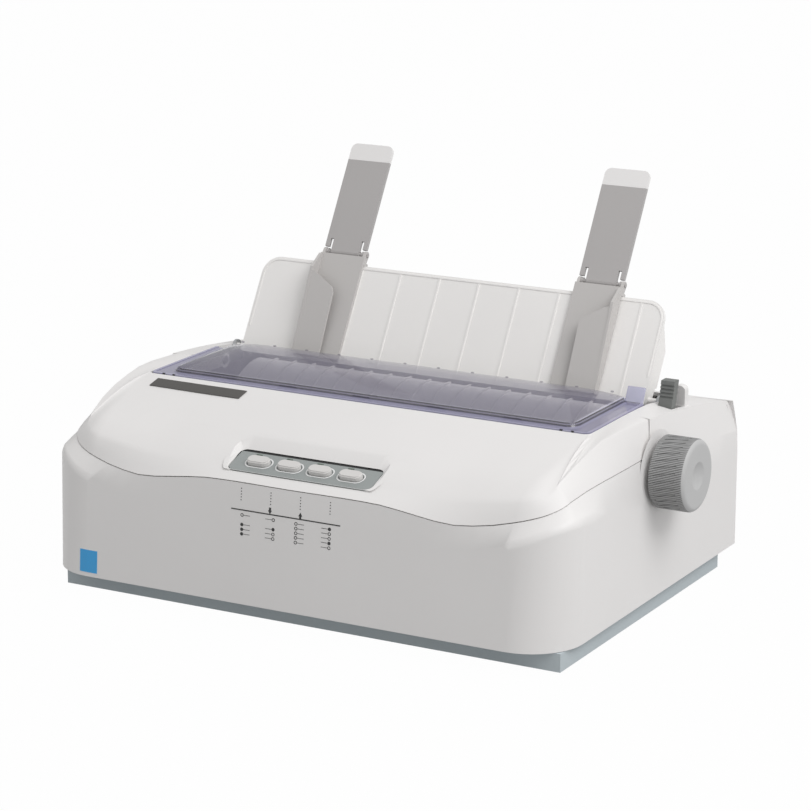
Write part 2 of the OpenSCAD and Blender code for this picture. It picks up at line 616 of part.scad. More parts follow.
// ---------------------------------------------------------------- control panel

panel_y = -130;
panel_z = rim_mid_z + 6.5;
button_y = 10.3;
button_h = 3.6;
panel_gap = 0.35;
foot_top = rim_mid_z - 13;
module on_panel() translate([0, panel_y, panel_z]) rotate([panel_tilt, 0, 0]) children();
function button_x(i) = (i - 2.5) * button_pitch;

module control_panel() color([0.58, 0.6, 0.6]) {
    on_panel() difference() {
        translate([0, 0, -2]) linear_extrude(2) polygon(soft_rect(-opening_half + 0.6, opening_half - 0.6, -0.7, 27, 4.5, 1));
        for (i = [1:4]) translate([button_x(i), button_y, -3]) linear_extrude(4) slot(button_l + 0.8, button_w + 0.8);
    }
    // feet on the inside of the front wall
    for (s = [-1, 1]) {
        box(s * 49 - 5, s * 49 + 5, panel_y + 1.5, panel_y + 4, rim_mid_z - 14, panel_z - 1.2);
        box(s * 49 - 5, s * 49 + 5, -hy + lean_at([0, 0, 0, -1], foot_top) + wall + seat, panel_y + 4, foot_top - 3, foot_top);
    }
}

module panel_board() color(board_green) on_panel() {
    translate([-54, 2, -9.6]) cube([108, 18, 1.6]);
    for (i = [1:4]) translate([button_x(i) - 3, button_y - 3, -8]) cube([6, 6, 1.6]);
    for (s = [-1, 1]) translate([s * 50 - 2, 4, -8]) cube([4, 14, 6]);
}

module button(i) color([0.8, 0.79, 0.78]) on_panel() translate([button_x(i), button_y, 0]) {
    translate([0, 0, -2.6]) linear_extrude(button_h + 1.8) slot(button_l, button_w);
    translate([0, 0, button_h - 0.8]) linear_extrude(0.8) slot(button_l - 1.4, button_w - 1.4);
    translate([0, 0, -3.2]) linear_extrude(1) slot(button_l + 3, button_w + 3);
    translate([0, 0, -4.9]) cylinder(r = 2, h = 2, $fn = 32);
}

// ---------------------------------------------------------------- frame

frame_out = frame_in + frame_t;
rod_y = tractor_y + 14;
rod_z = tractor_z - 16;
frame_top = 112;
module frame_outline() difference() {
    polygon([[-78, floor_z], [-78, 96], [-60, 100], [-30, 100], [-12, frame_top + 6], [34, frame_top + 6], [50, frame_top],
        [84, frame_top], [118, frame_top - 16], [118, 64], [104, 50], [72, 44], [72, floor_z]]);
    translate([platen_y, platen_z]) circle(bush_r + 0.05, $fn = 64);
    translate([-rail_y, rail_z]) circle(rail_r + 0.02, $fn = 64);
    translate([tractor_y, tractor_z]) circle(tractor_shaft_r + run_gap, $fn = 64);
    translate([rod_y, rod_z]) circle(3.02, $fn = 48);
    translate([bail_pivot_y, bail_pivot_z]) circle(2.5 + run_gap, $fn = 48);
    polygon([[-60, 20], [-60, 56], [-20, 56], [-20, 20]]);
    polygon([[-4, 20], [-4, 58], [34, 58], [34, 20]]);
}
module side_frame_left() color(steel) {
    flat_yz(-frame_out, frame_t) difference() {
        frame_outline();
        translate([motor_y, motor_z]) circle(4, $fn = 48);
    }
    // riveted stud of the idler, with its head
    bar_x(gear_x - 1.5, -frame_out + 0.5, idler_y, idler_z, 3);
    bar_x(gear_x - 2.5, gear_x - 0.4, idler_y, idler_z, 5);
    box(-frame_out - 12, -frame_out, -60, 60, floor_z, floor_z + frame_t);
}
module side_frame_right() color(steel) {
    flat_yz(frame_in, frame_t) frame_outline();
    box(frame_out, frame_out + 12, -60, 60, floor_z, floor_z + frame_t);
    // stud that the release lever turns on
    bar_x(frame_out - 0.5, lever_x0 + 1, lever_pivot_y, lever_pivot_z, 5);
    bar_x(frame_out, lever_x0 + 8, lever_pivot_y, lever_pivot_z, 2.5);
}
module crossbars() color(steel) {
    box(-frame_in, frame_in, -78, -76.6, 22, 52);
    box(-104, 112, -78, -66, 20.6, 22);
    box(-frame_in, frame_in, 112, 113.4, 44, 70);
    box(-frame_in, frame_in, 102, 113.4, 42.6, 44);
}
module carriage_shaft() color(steel) bar_x(-frame_out - 2, frame_out + 2, -rail_y, rail_z, rail_r);
module carriage_rail() color(steel) {
    box(-frame_in, frame_in, -76, -74.4, 66, 92);
    box(-frame_in, frame_in, -76, -62, 92, 93.6);
}

// ---------------------------------------------------------------- carriage

car_half = 34;
module carriage() color(black) difference() {
    union() {
        box(-car_half, car_half, -rail_y - 12, -rail_y + 12, rail_z - 11, rail_z + 11);
        box(-car_half, car_half, -66, -rail_y - 8, rail_z + 4, rail_z + 11);
        // fork over the front rail
        box(-14, 14, -68, -62, rail_z + 10, rail_z + 19.5);
        box(-14, 14, -68, -58, 94, 96.4);
        box(-14, 14, -61.5, -58, rail_z + 10, 96.4);
        // clamp on the belt
        box(-8, 8, belt_y - 4, belt_y + 6, belt_z - 1, rail_z - 8);
    }
    bar_x(-car_half - 1, car_half + 1, -rail_y, rail_z, rail_r + run_gap);
    box(-9, 9, belt_y - 1.2, belt_y + 1.2, belt_z - 2, belt_z + 7);
    box(-15, 15, -70, -61.6, 91.6, 94);
}

head_z = platen_z;
module print_head() color([0.3, 0.3, 0.32]) {
    box(-16, 16, -50, -30, rail_z + 11.2, head_z + 9);
    // cooling fins
    for (i = [0:6]) box(-20, 20, -50 + 3 * i, -48.6 + 3 * i, head_z - 8, head_z + 12);
    // nose with the wire guide
    translate([0, -30, head_z]) rotate([-90, 0, 0]) linear_extrude(14) square([22, 14], center = true);
    box(-5, 5, -16, platen_y - platen_r - 3.4, head_z - 5, head_z + 5);
}

cart_z = head_z + 12.6;
ribbon_y = platen_y - platen_r - 2.2;
module ribbon_cartridge() color([0.16, 0.16, 0.17]) {
    translate([0, 0, cart_z]) linear_extrude(10) difference() {
        union() {
            round_rect(-43, 43, -76, -52, 6);
            round_rect(-43, -30, -60, -9, 3);
            round_rect(30, 43, -60, -9, 3);
        }
        translate([-24, -62]) circle(ribbon_knob_r + run_gap, $fn = 64);
    }
    // ribbon guides and the ribbon between them
    for (s = [-1, 1]) box(s * 36 - 3, s * 36 + 3, -13, ribbon_y, head_z - 6, cart_z + 1);
    box(-36, 36, ribbon_y - 0.3, ribbon_y, head_z - 6, head_z + 6);
    for (s = [-1, 1]) box(s * 26 - 4, s * 26 + 4, -59, -53.4, rail_z + 11.2, cart_z + 1);
}
ribbon_knob_r = 7.5;

module ribbon_knob() color([0.75, 0.75, 0.74]) translate([-24, -62, cart_z + 1]) {
    cylinder(r = ribbon_knob_r, h = 10.2, $fn = 64);
    translate([0, 0, 10]) linear_extrude(1.4) union() {
        square([12, 2.4], center = true);
        circle(2.5, $fn = 32);
    }
}

// belt in front of the shaft, over the crossbar
belt_y = -56;
belt_z = 54;
pulley_x = 128;
pulley_r = 6;
module carriage_belt() color(black) translate([0, belt_y - pulley_r - 0.6, belt_z]) linear_extrude(6) difference() {
    slot(2 * pulley_x + 2 * pulley_r + 1.2, 2 * pulley_r + 1.2);
    slot(2 * pulley_x + 2 * pulley_r - 0.8, 2 * pulley_r - 0.8 + 0.0);
}
module belt_pulley() color(steel) translate([pulley_x, belt_y - pulley_r - 0.6, belt_z - 1]) pulley_body();
module motor_pulley() color(steel) translate([-pulley_x, belt_y - pulley_r - 0.6, belt_z - 1]) pulley_body();
module pulley_body() rotate_extrude($fn = 64) polygon([[1.56, 0], [pulley_r + 1.5, 0], [pulley_r + 1.5, 0.7],
    [pulley_r - 0.8, 0.7], [pulley_r - 0.8, 7.3], [pulley_r + 1.5, 7.3], [pulley_r + 1.5, 8], [1.56, 8]]);
module carriage_motor() color([0.25, 0.25, 0.27]) translate([0, belt_y - pulley_r - 0.6, 0]) {
    translate([-pulley_x, 0, floor_z + 0.3]) cylinder(r = 13.4, h = 34, $fn = 64);
    translate([-pulley_x, 0, floor_z + 34]) cylinder(r = 1.5, h = belt_z + 8 - floor_z - 34, $fn = 32);
    // stud of the other pulley, on a foot
    translate([pulley_x, 0, floor_z + 0.3]) cylinder(r = 7, h = belt_z - 3 - floor_z, $fn = 48);
    translate([pulley_x, 0, floor_z + 10]) cylinder(r = 1.5, h = belt_z + 8 - floor_z - 10, $fn = 32);
}

// ---------------------------------------------------------------- platen

bush_r = 8;
gear_x = -frame_out - 3 - gear_w;
module platen_roller() color([0.14, 0.14, 0.15]) difference() {
    bar_x(-platen_l / 2, platen_l / 2, platen_y, platen_z, platen_r);
    bar_x(-platen_l / 2 - 1, platen_l / 2 + 1, platen_y, platen_z, shaft_r);
}
module platen_shaft() color(steel) bar_x(gear_x - 1, hx + knob_l - 6, platen_y, platen_z, shaft_r);
module platen_bushes() color([0.9, 0.9, 0.86]) for (s = [-1, 1]) {
    difference() {
        union() {
            bar_x(s > 0 ? frame_in : -frame_out, s > 0 ? frame_out : -frame_in, platen_y, platen_z, bush_r);
            bar_x(s > 0 ? frame_in - 2 : -frame_in, s > 0 ? frame_in : -frame_in + 2, platen_y, platen_z, bush_r + 3);
        }
        bar_x(s * frame_in - 10, s * frame_in + 10, platen_y, platen_z, shaft_r + run_gap);
    }
}
dish_r = 10;                     // shallow dish in the end of the knob
dish_d = 2.6;
dish_h = (dish_r * dish_r - dish_d * dish_d) / (2 * dish_d);
module platen_knob() color([0.64, 0.64, 0.64]) difference() {
    translate([hx + 1.2, platen_y, platen_z]) rotate([0, 90, 0]) rotate_extrude($fn = 96)
        polygon(concat([[shaft_r, 0], [knob_r - 1, 0], [knob_r, 1]],
            arc(knob_r - 4, knob_l - 4, 4, 0, 90, 6),
            arc(0, knob_l + dish_h, dish_h + dish_d, -acos(dish_r / (dish_h + dish_d)), -90, 5),
            [[0, knob_l - 5], [shaft_r, knob_l - 5]]));
    // grip grooves, slightly slanted
    for (i = [0:knob_grooves - 1]) translate([hx + 1.2, platen_y, platen_z]) rotate([360 * i / knob_grooves, 0, 0])
        translate([knob_l * 0.45, 0, knob_r + 0.3]) rotate([0, 0, 12]) cube([knob_l * 0.62, 1.6, 1.6], center = true);
}

// ---------------------------------------------------------------- gears

function involute(a) = tan(a) * 180 / PI - a;
// Points of a spur gear: root, flank and tip of every tooth
function tooth_flank(n, m, r) = let (
    rp = n * m / 2, rb = rp * cos(20),
    a = r > rb ? acos(rb / r) : 0)
    90 / n - gear_backlash / rp * 180 / PI + involute(20) - involute(a);
function gear_points(n, m) = let (
    rp = n * m / 2,
    radii = [rp - 1.25 * m, rp - 0.6 * m, rp, rp + 0.55 * m, rp + m])
    [for (i = [0:n - 1]) each concat(
        [for (k = [0:4]) let (a = 360 * i / n - tooth_flank(n, m, radii[k])) radii[k] * [cos(a), sin(a)]],
        [for (k = [4:-1:0]) let (a = 360 * i / n + tooth_flank(n, m, radii[k])) radii[k] * [cos(a), sin(a)]])];
gear_backlash = 0.09;
// Phase of a gear that meshes with another one, dir is the direction to it
function mesh_phase(n1, phase1, n2, dir) = let (
    f = (dir - phase1) * n1 / 360) dir + 180 - (0.5 - f) * 360 / n2;
module gear(n, bore, x, y, z, phase, hub) translate([x, y, z]) rotate([90, 0, 90]) difference() {
    union() {
        rotate(phase) linear_extrude(gear_w) polygon(gear_points(n, gear_m));
        translate([0, 0, gear_w - 0.01]) cylinder(r = hub, h = 2, $fn = 48);
    }
    translate([0, 0, -1]) cylinder(r = bore, h = gear_w + 4, $fn = 64);
    // lightening holes in the larger wheels
    if (n > 30) for (i = [0:4]) rotate(72 * i) translate([n * gear_m * 0.31, 0, -1]) cylinder(r = n * gear_m * 0.085, h = gear_w + 4, $fn = 32);
}
// The idler sits where it meets both wheels
r_pi = (platen_teeth + idler_teeth) * gear_m / 2 + 0.05;
r_it = (idler_teeth + tractor_teeth) * gear_m / 2 + 0.05;
r_pt = norm([tractor_y - platen_y, tractor_z - platen_z]);
dir_pt = atan2(tractor_z - platen_z, tractor_y - platen_y);
dir_pi = dir_pt - acos((r_pi * r_pi + r_pt * r_pt - r_it * r_it) / (2 * r_pi * r_pt));
idler_y = platen_y + r_pi * cos(dir_pi);
idler_z = platen_z + r_pi * sin(dir_pi);
dir_it = atan2(tractor_z - idler_z, tractor_y - idler_y);
dir_ip = -80;                    // direction from the idler to the motor pinion
r_ip = (idler_teeth + pinion_teeth) * gear_m / 2 + 0.05;
motor_y = idler_y + r_ip * cos(dir_ip);
motor_z = idler_z + r_ip * sin(dir_ip);
phase_i = mesh_phase(platen_teeth, 0, idler_teeth, dir_pi);
phase_t = mesh_phase(idler_teeth, phase_i, tractor_teeth, dir_it);
phase_p = mesh_phase(idler_teeth, phase_i, pinion_teeth, dir_ip);

module platen_gear() color([0.93, 0.92, 0.88]) gear(platen_teeth, shaft_r, gear_x, platen_y, platen_z, 0, 8);
module idler_gear() color([0.93, 0.92, 0.88]) gear(idler_teeth, 3 + run_gap, gear_x, idler_y, idler_z, phase_i, 6);
module tractor_gear() color([0.93, 0.92, 0.88]) gear(tractor_teeth, tractor_shaft_r, gear_x, tractor_y, tractor_z, phase_t, 7);
module feed_pinion() color([0.8, 0.7, 0.4]) gear(pinion_teeth, 2 + 0.02, gear_x, motor_y, motor_z, phase_p, 4);
module feed_motor() color([0.25, 0.25, 0.27]) {
    bar_x(-frame_in, -frame_in + 26, motor_y, motor_z, 15);
    bar_x(gear_x - 0.5, -frame_in + 2, motor_y, motor_z, 2);
    for (s = [-1, 1]) flat_yz(-frame_in, 1.2) link([motor_y, motor_z], [motor_y + s * 20, motor_z], 8);
}

// ---------------------------------------------------------------- paper path

module paper_chute() color([0.2, 0.2, 0.21]) {
    flat_yz(-frame_in + 1, 2 * frame_in - 2) difference() {
        circle_at(platen_y, platen_z, platen_r + 4.2);
        circle_at(platen_y, platen_z, platen_r + 2.4);
        translate([platen_y - 40, platen_z - 8]) square([80, 60]);
    }
    for (s = [-1, 1]) box(s * 90 - 2, s * 90 + 2, platen_y - 9, platen_y - 3, floor_z, platen_z - platen_r - 2.5);
}
module circle_at(y, z, r) translate([y, z]) circle(r, $fn = 96);

// White ribbed guide over the platen, seen through the window
rib_pitch = 15.9;
guide_r = 45;
guide_cy = 50;
guide_cz = 85;
module guide_section(grow) difference() {
    translate([guide_cy, guide_cz]) circle(guide_r + grow, $fn = 120);
    translate([guide_cy, guide_cz]) circle(guide_r - 1.8, $fn = 120);
    translate([-20, 20]) square([160, 98]);
    translate([55, 20]) square([80, 160]);
}
module ribbed_guide() color([0.86, 0.86, 0.85]) {
    flat_yz(-frame_in + 3.5, 2 * frame_in - 7) guide_section(0);
    for (i = [-8:8]) flat_yz(i * rib_pitch - 0.6, 1.2) guide_section(1.4);
    // feet on the tops of the side frames
    for (s = [-1, 1]) {
        pair_box(s, frame_in - 8, frame_in - 4, 49, 54, frame_top + seat, frame_top + 17.5);
        pair_box(s, frame_in - 8, frame_out, 51, 62, frame_top + seat, frame_top + seat + 1.6);
    }
}

bail_pivot_y = 30;
bail_pivot_z = 105;
bail_y = platen_y - 5;
bail_z = platen_z + platen_r + 4.6;
module paper_bail() color(steel) {
    bar_x(-frame_in + 1, frame_in - 1, bail_y, bail_z, 2);
    for (s = [-1, 1]) {
        flat_yz(s > 0 ? frame_in - 1.9 : -frame_in + 0.3, 1.6) union() {
            link([bail_y, bail_z], [bail_pivot_y, bail_pivot_z + 4], 6.4);
            link([bail_pivot_y, bail_pivot_z + 4], [bail_pivot_y, bail_pivot_z], 8);
        }
        bar_x(s > 0 ? frame_in - 1 : -frame_out, s > 0 ? frame_out : -frame_in + 1, bail_pivot_y, bail_pivot_z, 2.5);
    }
}
module bail_rollers() color(black) for (x = [-90, -30, 30, 90]) difference() {
    bar_x(x - 6, x + 6, bail_y, bail_z, 5);
    bar_x(x - 7, x + 7, bail_y, bail_z, 2 + run_gap);
}

// ---------------------------------------------------------------- tractors

tractor_shaft_r = 4;
sprocket_r = sprocket_pins * hole_pitch / (2 * PI);
module tractor_shaft() color(steel) bar_x(gear_x - 1, frame_out + 2, tractor_y, tractor_z, tractor_shaft_r);
module tractor_rod() color(steel) bar_x(-frame_out - 1, frame_out + 1, rod_y, rod_z, 3);
module tractor_body(x) difference() {
    union() {
        for (d = [-8, 6]) flat_yz(x + d, 2) polygon([
            [tractor_y - 11.5, tractor_z + 3], [tractor_y - 11.5, tractor_z + 7.5],
            [tractor_y - 10, tractor_z + 9], [tractor_y + 11, tractor_z + 9.2],
            [tractor_y + 13, tractor_z + 7.5], [rod_y + 6.5, rod_z + 4], [rod_y + 6.5, rod_z - 4],
            [rod_y + 4, rod_z - 6.5], [rod_y - 4, rod_z - 6.5], [tractor_y - 6.5, tractor_z - 4]]);
        box(x - 7, x + 7, rod_y - 4.6, rod_y + 4.2, rod_z - 4.4, rod_z + 4.4);
    }
    bar_x(x - 9, x + 9, tractor_y, tractor_z, tractor_shaft_r + 0.35);
    bar_x(x - 9, x + 9, rod_y, rod_z, 3 + run_gap);
    bar_x(x - 9, x + 9, tractor_y + 9, tractor_z + 6, 1.3 + 0.05);
}
module tractor_left() color([0.2, 0.2, 0.21]) tractor_body(-tractor_x);
module tractor_right() color([0.2, 0.2, 0.21]) tractor_body(tractor_x);
module sprocket(x) difference() {
    union() {
        bar_x(x - 5.6, x + 5.6, tractor_y, tractor_z, sprocket_r - 2.6);
        bar_x(x - 2.5, x + 2.5, tractor_y, tractor_z, sprocket_r - 1);
        for (i = [0:sprocket_pins - 1]) translate([x, tractor_y, tractor_z])
            rotate([360 * i / sprocket_pins, 0, 0]) {
                cylinder(r = 1.8, h = sprocket_r + 0.4, $fn = 32);
                cylinder(r = 1.2, h = sprocket_r + 1.6, $fn = 32);
            }
    }
    bar_x(x - 7, x + 7, tractor_y, tractor_z, tractor_shaft_r + run_gap);
}
module sprocket_left() color([0.85, 0.85, 0.82]) sprocket(-tractor_x);
module sprocket_right() color([0.85, 0.85, 0.82]) sprocket(tractor_x);
module tractor_door(x) {
    difference() {
        union() {
            box(x - 9.5, x + 9.5, tractor_y - 12, tractor_y + 7, tractor_z + sprocket_r + 2.2, tractor_z + sprocket_r + 4);
            flat_yz(x - 10.6, 1.8) link([tractor_y + 9, tractor_z + 6], [tractor_y + 5, tractor_z + sprocket_r + 1.2], 5);
            flat_yz(x + 8.8, 1.8) link([tractor_y + 9, tractor_z + 6], [tractor_y + 5, tractor_z + sprocket_r + 1.2], 5);
            for (d = [-10.6, 6.1]) bar_x(x + d, x + d + 4.5, tractor_y + 9, tractor_z + 6, 1.3);
        }
        box(x - 2.6, x + 2.6, tractor_y - 13, tractor_y + 5, tractor_z + sprocket_r + 2, tractor_z + sprocket_r + 5);
    }
}
module tractor_door_left() color([0.35, 0.35, 0.36]) tractor_door(-tractor_x);
module tractor_door_right() color([0.35, 0.35, 0.36]) tractor_door(tractor_x);

// ---------------------------------------------------------------- sheet guide

guide_pin_r = 2.5;
pivot_up = 5;                    // pivot in the leaning frame of the guide
pivot_back = 7;
guide_pivot_y = guide_y + pivot_up * cos(guide_lean) + pivot_back * sin(guide_lean);
guide_pivot_z = guide_z + pivot_up * sin(guide_lean) - pivot_back * cos(guide_lean);
module leaning() translate([0, guide_y, guide_z]) rotate([guide_lean, 0, 0]) children();

module sheet_guide() color(case_white) {
    leaning() {
        translate([0, 0, -guide_t]) linear_extrude(guide_t) difference() {
            polygon(soft_rect(-guide_half, guide_half, 0, guide_l, 1, 14, 8));
        }
        // raised lines up the face and along its top
        for (i = [-4:4]) translate([i * guide_rib_pitch + guide_rib_pitch / 2 - 0.7, 1, -0.1]) cube([1.4, guide_l - 4, 0.6]);
        translate([0, 0, -0.1]) linear_extrude(0.5) difference() {
            polygon(soft_rect(-guide_half + 1.5, guide_half - 1.5, 20, guide_l - 1.5, 1, 12.5, 8));
            polygon(soft_rect(-guide_half + 2.5, guide_half - 2.5, 10, guide_l - 2.5, 1, 11.5, 8));
        }
        // side walls that run back
        for (s = [-1, 1]) flat_yz(s > 0 ? guide_half - guide_t : -guide_half, guide_t)
            polygon([[1, -1], [guide_l - 15, -1], [guide_l - 17, -3], [44, -15], [17, -15], [15, -12], [9, -12], [1, -12]]);
    }
    for (s = [-1, 1]) bar_x(s > 0 ? guide_half - 0.5 : -open_half + 0.8, s > 0 ? open_half - 0.8 : -guide_half + 0.5,
        guide_pivot_y, guide_pivot_z, guide_pin_r);
}

arm_axis = guide_l + 9;          // hinge of a support arm along the slope
arm_axis_back = 1.5;
edge_gap = 0.4;                  // the edge guides slide over the face and its lines
edge_z = 0.5 + edge_gap;
edge_t = 1.8;
fence_t = 2;
// s is -1 for the left one, whose fence stands at its left edge
module edge_guide(x, s) leaning() translate([x, 0, 0]) difference() {
    union() {
        translate([-edge_w / 2, 2, edge_z]) cube([edge_w, guide_l + 4.5, edge_t]);
        // fence along the outer edge, which narrows downwards
        flat_yz(s > 0 ? edge_w / 2 - fence_t : -edge_w / 2, fence_t)
            polygon([[2, edge_z], [guide_l + 6.5, edge_z], [guide_l + 5, 5], [guide_l - 8, 12], [2, 6.5]]);
        // lip that folds inwards over the paper
        translate([0, 2, 5.2]) rotate([4.2, 0, 0]) linear_extrude(1.4)
            polygon([[s * edge_w / 2, 0], [s * edge_w / 2, guide_l - 12], [s * (edge_w / 2 - 6), guide_l - 14],
                [s * (edge_w / 2 - 21), guide_l - 23], [s * (edge_w / 2 - 23), guide_l - 27], [s * (edge_w / 2 - 23), 0]]);
        // hook over the top edge of the sheet guide
        translate([-edge_w / 2, guide_l + edge_gap, -guide_t - edge_gap - 2]) cube([edge_w, 2.6, guide_t + edge_gap + 2 + edge_z + 0.2]);
        translate([-edge_w / 2 + 4, guide_l - 9, -guide_t - edge_gap - 2]) cube([edge_w - 8, 11, 2]);
        // ears that carry the support arm
        for (d = [-1, 1]) flat_yz(d * (arm_w / 2 - 0.5) - 1, 2)
            link([guide_l + 3.6, -0.5], [arm_axis, -arm_axis_back], 5.4);
    }
    bar_x(-edge_w, edge_w, arm_axis, -arm_axis_back, 1.5 + run_gap);
}
module edge_guide_left() color(guide_grey) edge_guide(edge_left_x, -1);
module edge_guide_right() color(guide_grey) edge_guide(edge_right_x, 1);

module support_arm(x) leaning() translate([x, 0, 0]) {
    difference() {
        union() {
            translate([-arm_w / 2, arm_axis + 3.2, -1.4]) cube([arm_w, arm_l - arm_tip_l - 3.2, 2.4]);
            translate([-arm_w / 2 + 4, arm_axis, -1.4]) cube([arm_w - 8, 6, 2.4]);
            bar_x(-arm_w / 2 + 1.5, arm_w / 2 - 1.5, arm_axis, -arm_axis_back, 2.4);
        }
        // slots beside the hinge
        for (d = [-1, 1]) translate([d * (arm_w / 2 - 4.6) - 1.2, arm_axis - 4, -6]) cube([2.4, 13.5, 12]);
    }
    bar_x(-arm_w / 2 - 1.2, arm_w / 2 + 1.2, arm_axis, -arm_axis_back, 1.5);
}
module arm_tip(x) leaning() translate([x, arm_axis + arm_l - arm_tip_l, -1.4]) linear_extrude(2.4)
    difference() {
        polygon(soft_rect(-arm_w / 2, arm_w / 2, 0, arm_tip_l, 0.1, 5, 6));
    }
module support_arm_left() color([0.65, 0.64, 0.635]) support_arm(edge_left_x);
module support_arm_right() color([0.65, 0.64, 0.635]) support_arm(edge_right_x);
module arm_tip_left() color([0.86, 0.86, 0.86]) arm_tip(edge_left_x);
module arm_tip_right() color([0.86, 0.86, 0.86]) arm_tip(edge_right_x);

// ---------------------------------------------------------------- release lever

lever_x0 = 177.8;
lever_w = 10;
lever_y0 = 52.5;
lever_t = 7.5;                   // depth of the grip
lever_lean = 15;
lever_h = 18.5;                  // height of the grip over the deck
lever_pivot_y = lever_y0 + lever_t / 2;
lever_pivot_z = 92;
guard_y = 72;                    // the little wall behind the lever
module release_lever() color([0.36, 0.37, 0.36]) difference() {
    union() {
        flat_yz(lever_x0, lever_w) polygon([[lever_y0, deck_z(lever_y0) - 1], [lever_y0 + lever_t, deck_z(lever_y0) - 1],
            [lever_y0 + lever_t + lever_h * tan(lever_lean), deck_z(lever_y0) + lever_h],
            [lever_y0 + lever_h * tan(lever_lean), deck_z(lever_y0) + lever_h]]);
        flat_yz(lever_x0 + 2, 5) link([lever_pivot_y, lever_pivot_z], [lever_pivot_y, deck_z(lever_y0)], 7);
        bar_x(lever_x0 + 2, lever_x0 + 7, lever_pivot_y, lever_pivot_z, 5.5);
    }
    bar_x(lever_x0 + 1, lever_x0 + lever_w, lever_pivot_y, lever_pivot_z, 2.5 + run_gap);
    // grooves across the front of the grip
    for (i = [0:3]) translate([lever_x0 - 1, lever_y0 + lever_h * tan(lever_lean), deck_z(lever_y0) + lever_h])
        rotate([-lever_lean, 0, 0]) translate([0, -1, -4 - 2.6 * i]) cube([lever_w + 2, 1.8, 1.3]);
}

// ---------------------------------------------------------------- electronics

inlet_x = -150;
inlet_z = 42;
port_x = 90;
port_z = 40;
usb_x = 30;
board_z = 11;
module main_board() color(board_green) {
    box(-20, 140, 20, 114, board_z, board_z + 1.6);
    for (x = [-14, 134]) for (y = [26, 108]) translate([x, y, floor_z + 0.3]) cylinder(r = 3, h = board_z - floor_z - 0.3, $fn = 24);
    for (x = [10, 50]) box(x, x + 30, 40, 62, board_z + 1.6, board_z + 5);
    box(-10, 70, 76, 80, board_z + 1.6, board_z + 11);
}
module power_board() color(board_green) {
    box(-184, -50, 74, 116, board_z, board_z + 1.6);
    for (x = [-178, -56]) for (y = [80, 110]) translate([x, y, floor_z + 0.3]) cylinder(r = 3, h = board_z - floor_z - 0.3, $fn = 24);
    box(-120, -84, 78, 112, board_z + 1.6, board_z + 30);
    for (x = [-140, -160]) translate([x, 94, board_z + 1.6]) cylinder(r = 8, h = 24, $fn = 32);
}
module interface_port() color([0.2, 0.2, 0.21]) {
    difference() {
        box(port_x - 32.6, port_x + 32.6, hy - 22, hy - 0.5, port_z - 8, port_z + 8);
        box(port_x - 28, port_x + 28, hy - 12, hy + 1, port_z - 4.5, port_z + 4.5);
    }
    difference() {
        box(usb_x - 6.6, usb_x + 6.6, hy - 20, hy - 0.5, port_z - 6, port_z + 6);
        box(usb_x - 4.2, usb_x + 4.2, hy - 12, hy + 1, port_z - 4, port_z + 4);
    }
    box(usb_x - 6.6, port_x + 32.6, hy - 22, hy - 20, flange_top + seat, port_z + 8);
}
switch_x = inlet_x + 26;
switch_y = hy - 3;
module power_inlet() color(black) {
    difference() {
        box(inlet_x - 14, switch_x + 10, hy - 20, hy + 0.8, inlet_z - 10, inlet_z + 10);
        box(inlet_x - 10.5, inlet_x + 10.5, hy - 14, hy + 2, inlet_z - 6.5, inlet_z + 6.5);
        box(switch_x - 6.4, switch_x + 6.4, hy - 12, hy + 2, inlet_z - 8.4, inlet_z + 8.4);
        bar_x(switch_x - 8.4, switch_x + 8.4, switch_y, inlet_z, 1.5 + run_gap);
    }
    for (x = [-6, 0, 6]) box(inlet_x + x - 1, inlet_x + x + 1, hy - 15, hy - 4, inlet_z - 2 + (x == 0 ? 3 : 0), inlet_z + 2 + (x == 0 ? 3 : 0));
}
// The rocker rests with its lower end pressed in
switch_tilt = 9;
module power_switch() color([0.2, 0.2, 0.21]) {
    flat_yz(switch_x - 6, 12) translate([switch_y, inlet_z]) rotate(-switch_tilt) translate([-switch_y, -inlet_z])
        polygon([[switch_y - 3.5, inlet_z - 4], [switch_y + 3.4, inlet_z - 7.6], [switch_y + 4.2, inlet_z - 7.6],
        [switch_y + 3.2, inlet_z], [switch_y + 4.2, inlet_z + 7.6], [switch_y + 3.4, inlet_z + 7.6], [switch_y - 3.5, inlet_z + 4]]);
    bar_x(switch_x - 8, switch_x + 8, switch_y, inlet_z, 1.5);
}

// ---------------------------------------------------------------- the assembly

base_tray();
rubber_feet();
main_case();
front_cover();
cover_arms();
window_cover();
hinge_brackets();
control_panel();
panel_board();
button(1);  // button_1
button(2);  // button_2
button(3);  // button_3
button(4);  // button_4
side_frame_left();
side_frame_right();
crossbars();
carriage_shaft();
carriage_rail();
carriage();
print_head();
ribbon_cartridge();
ribbon_knob();
carriage_belt();
belt_pulley();
motor_pulley();
carriage_motor();
platen_roller();
platen_shaft();
platen_knob();
platen_bushes();
platen_gear();
idler_gear();
feed_pinion();
feed_motor();
paper_chute();
ribbed_guide();
paper_bail();
bail_rollers();
tractor_shaft();
tractor_gear();
tractor_rod();
tractor_left();
tractor_right();
sprocket_left();
sprocket_right();
tractor_door_left();
tractor_door_right();
sheet_guide();
edge_guide_left();
edge_guide_right();
support_arm_left();
support_arm_right();
arm_tip_left();
arm_tip_right();
release_lever();
main_board();
power_board();
interface_port();
power_inlet();
power_switch();
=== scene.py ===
"""Desktop dot matrix printer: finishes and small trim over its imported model.

Lengths are in metres, in the frame of the model: X to the printer's right,
Y to the rear, Z up, the origin on the table under the middle of the body.
"""
import math

import bpy
from mathutils import Matrix, Vector


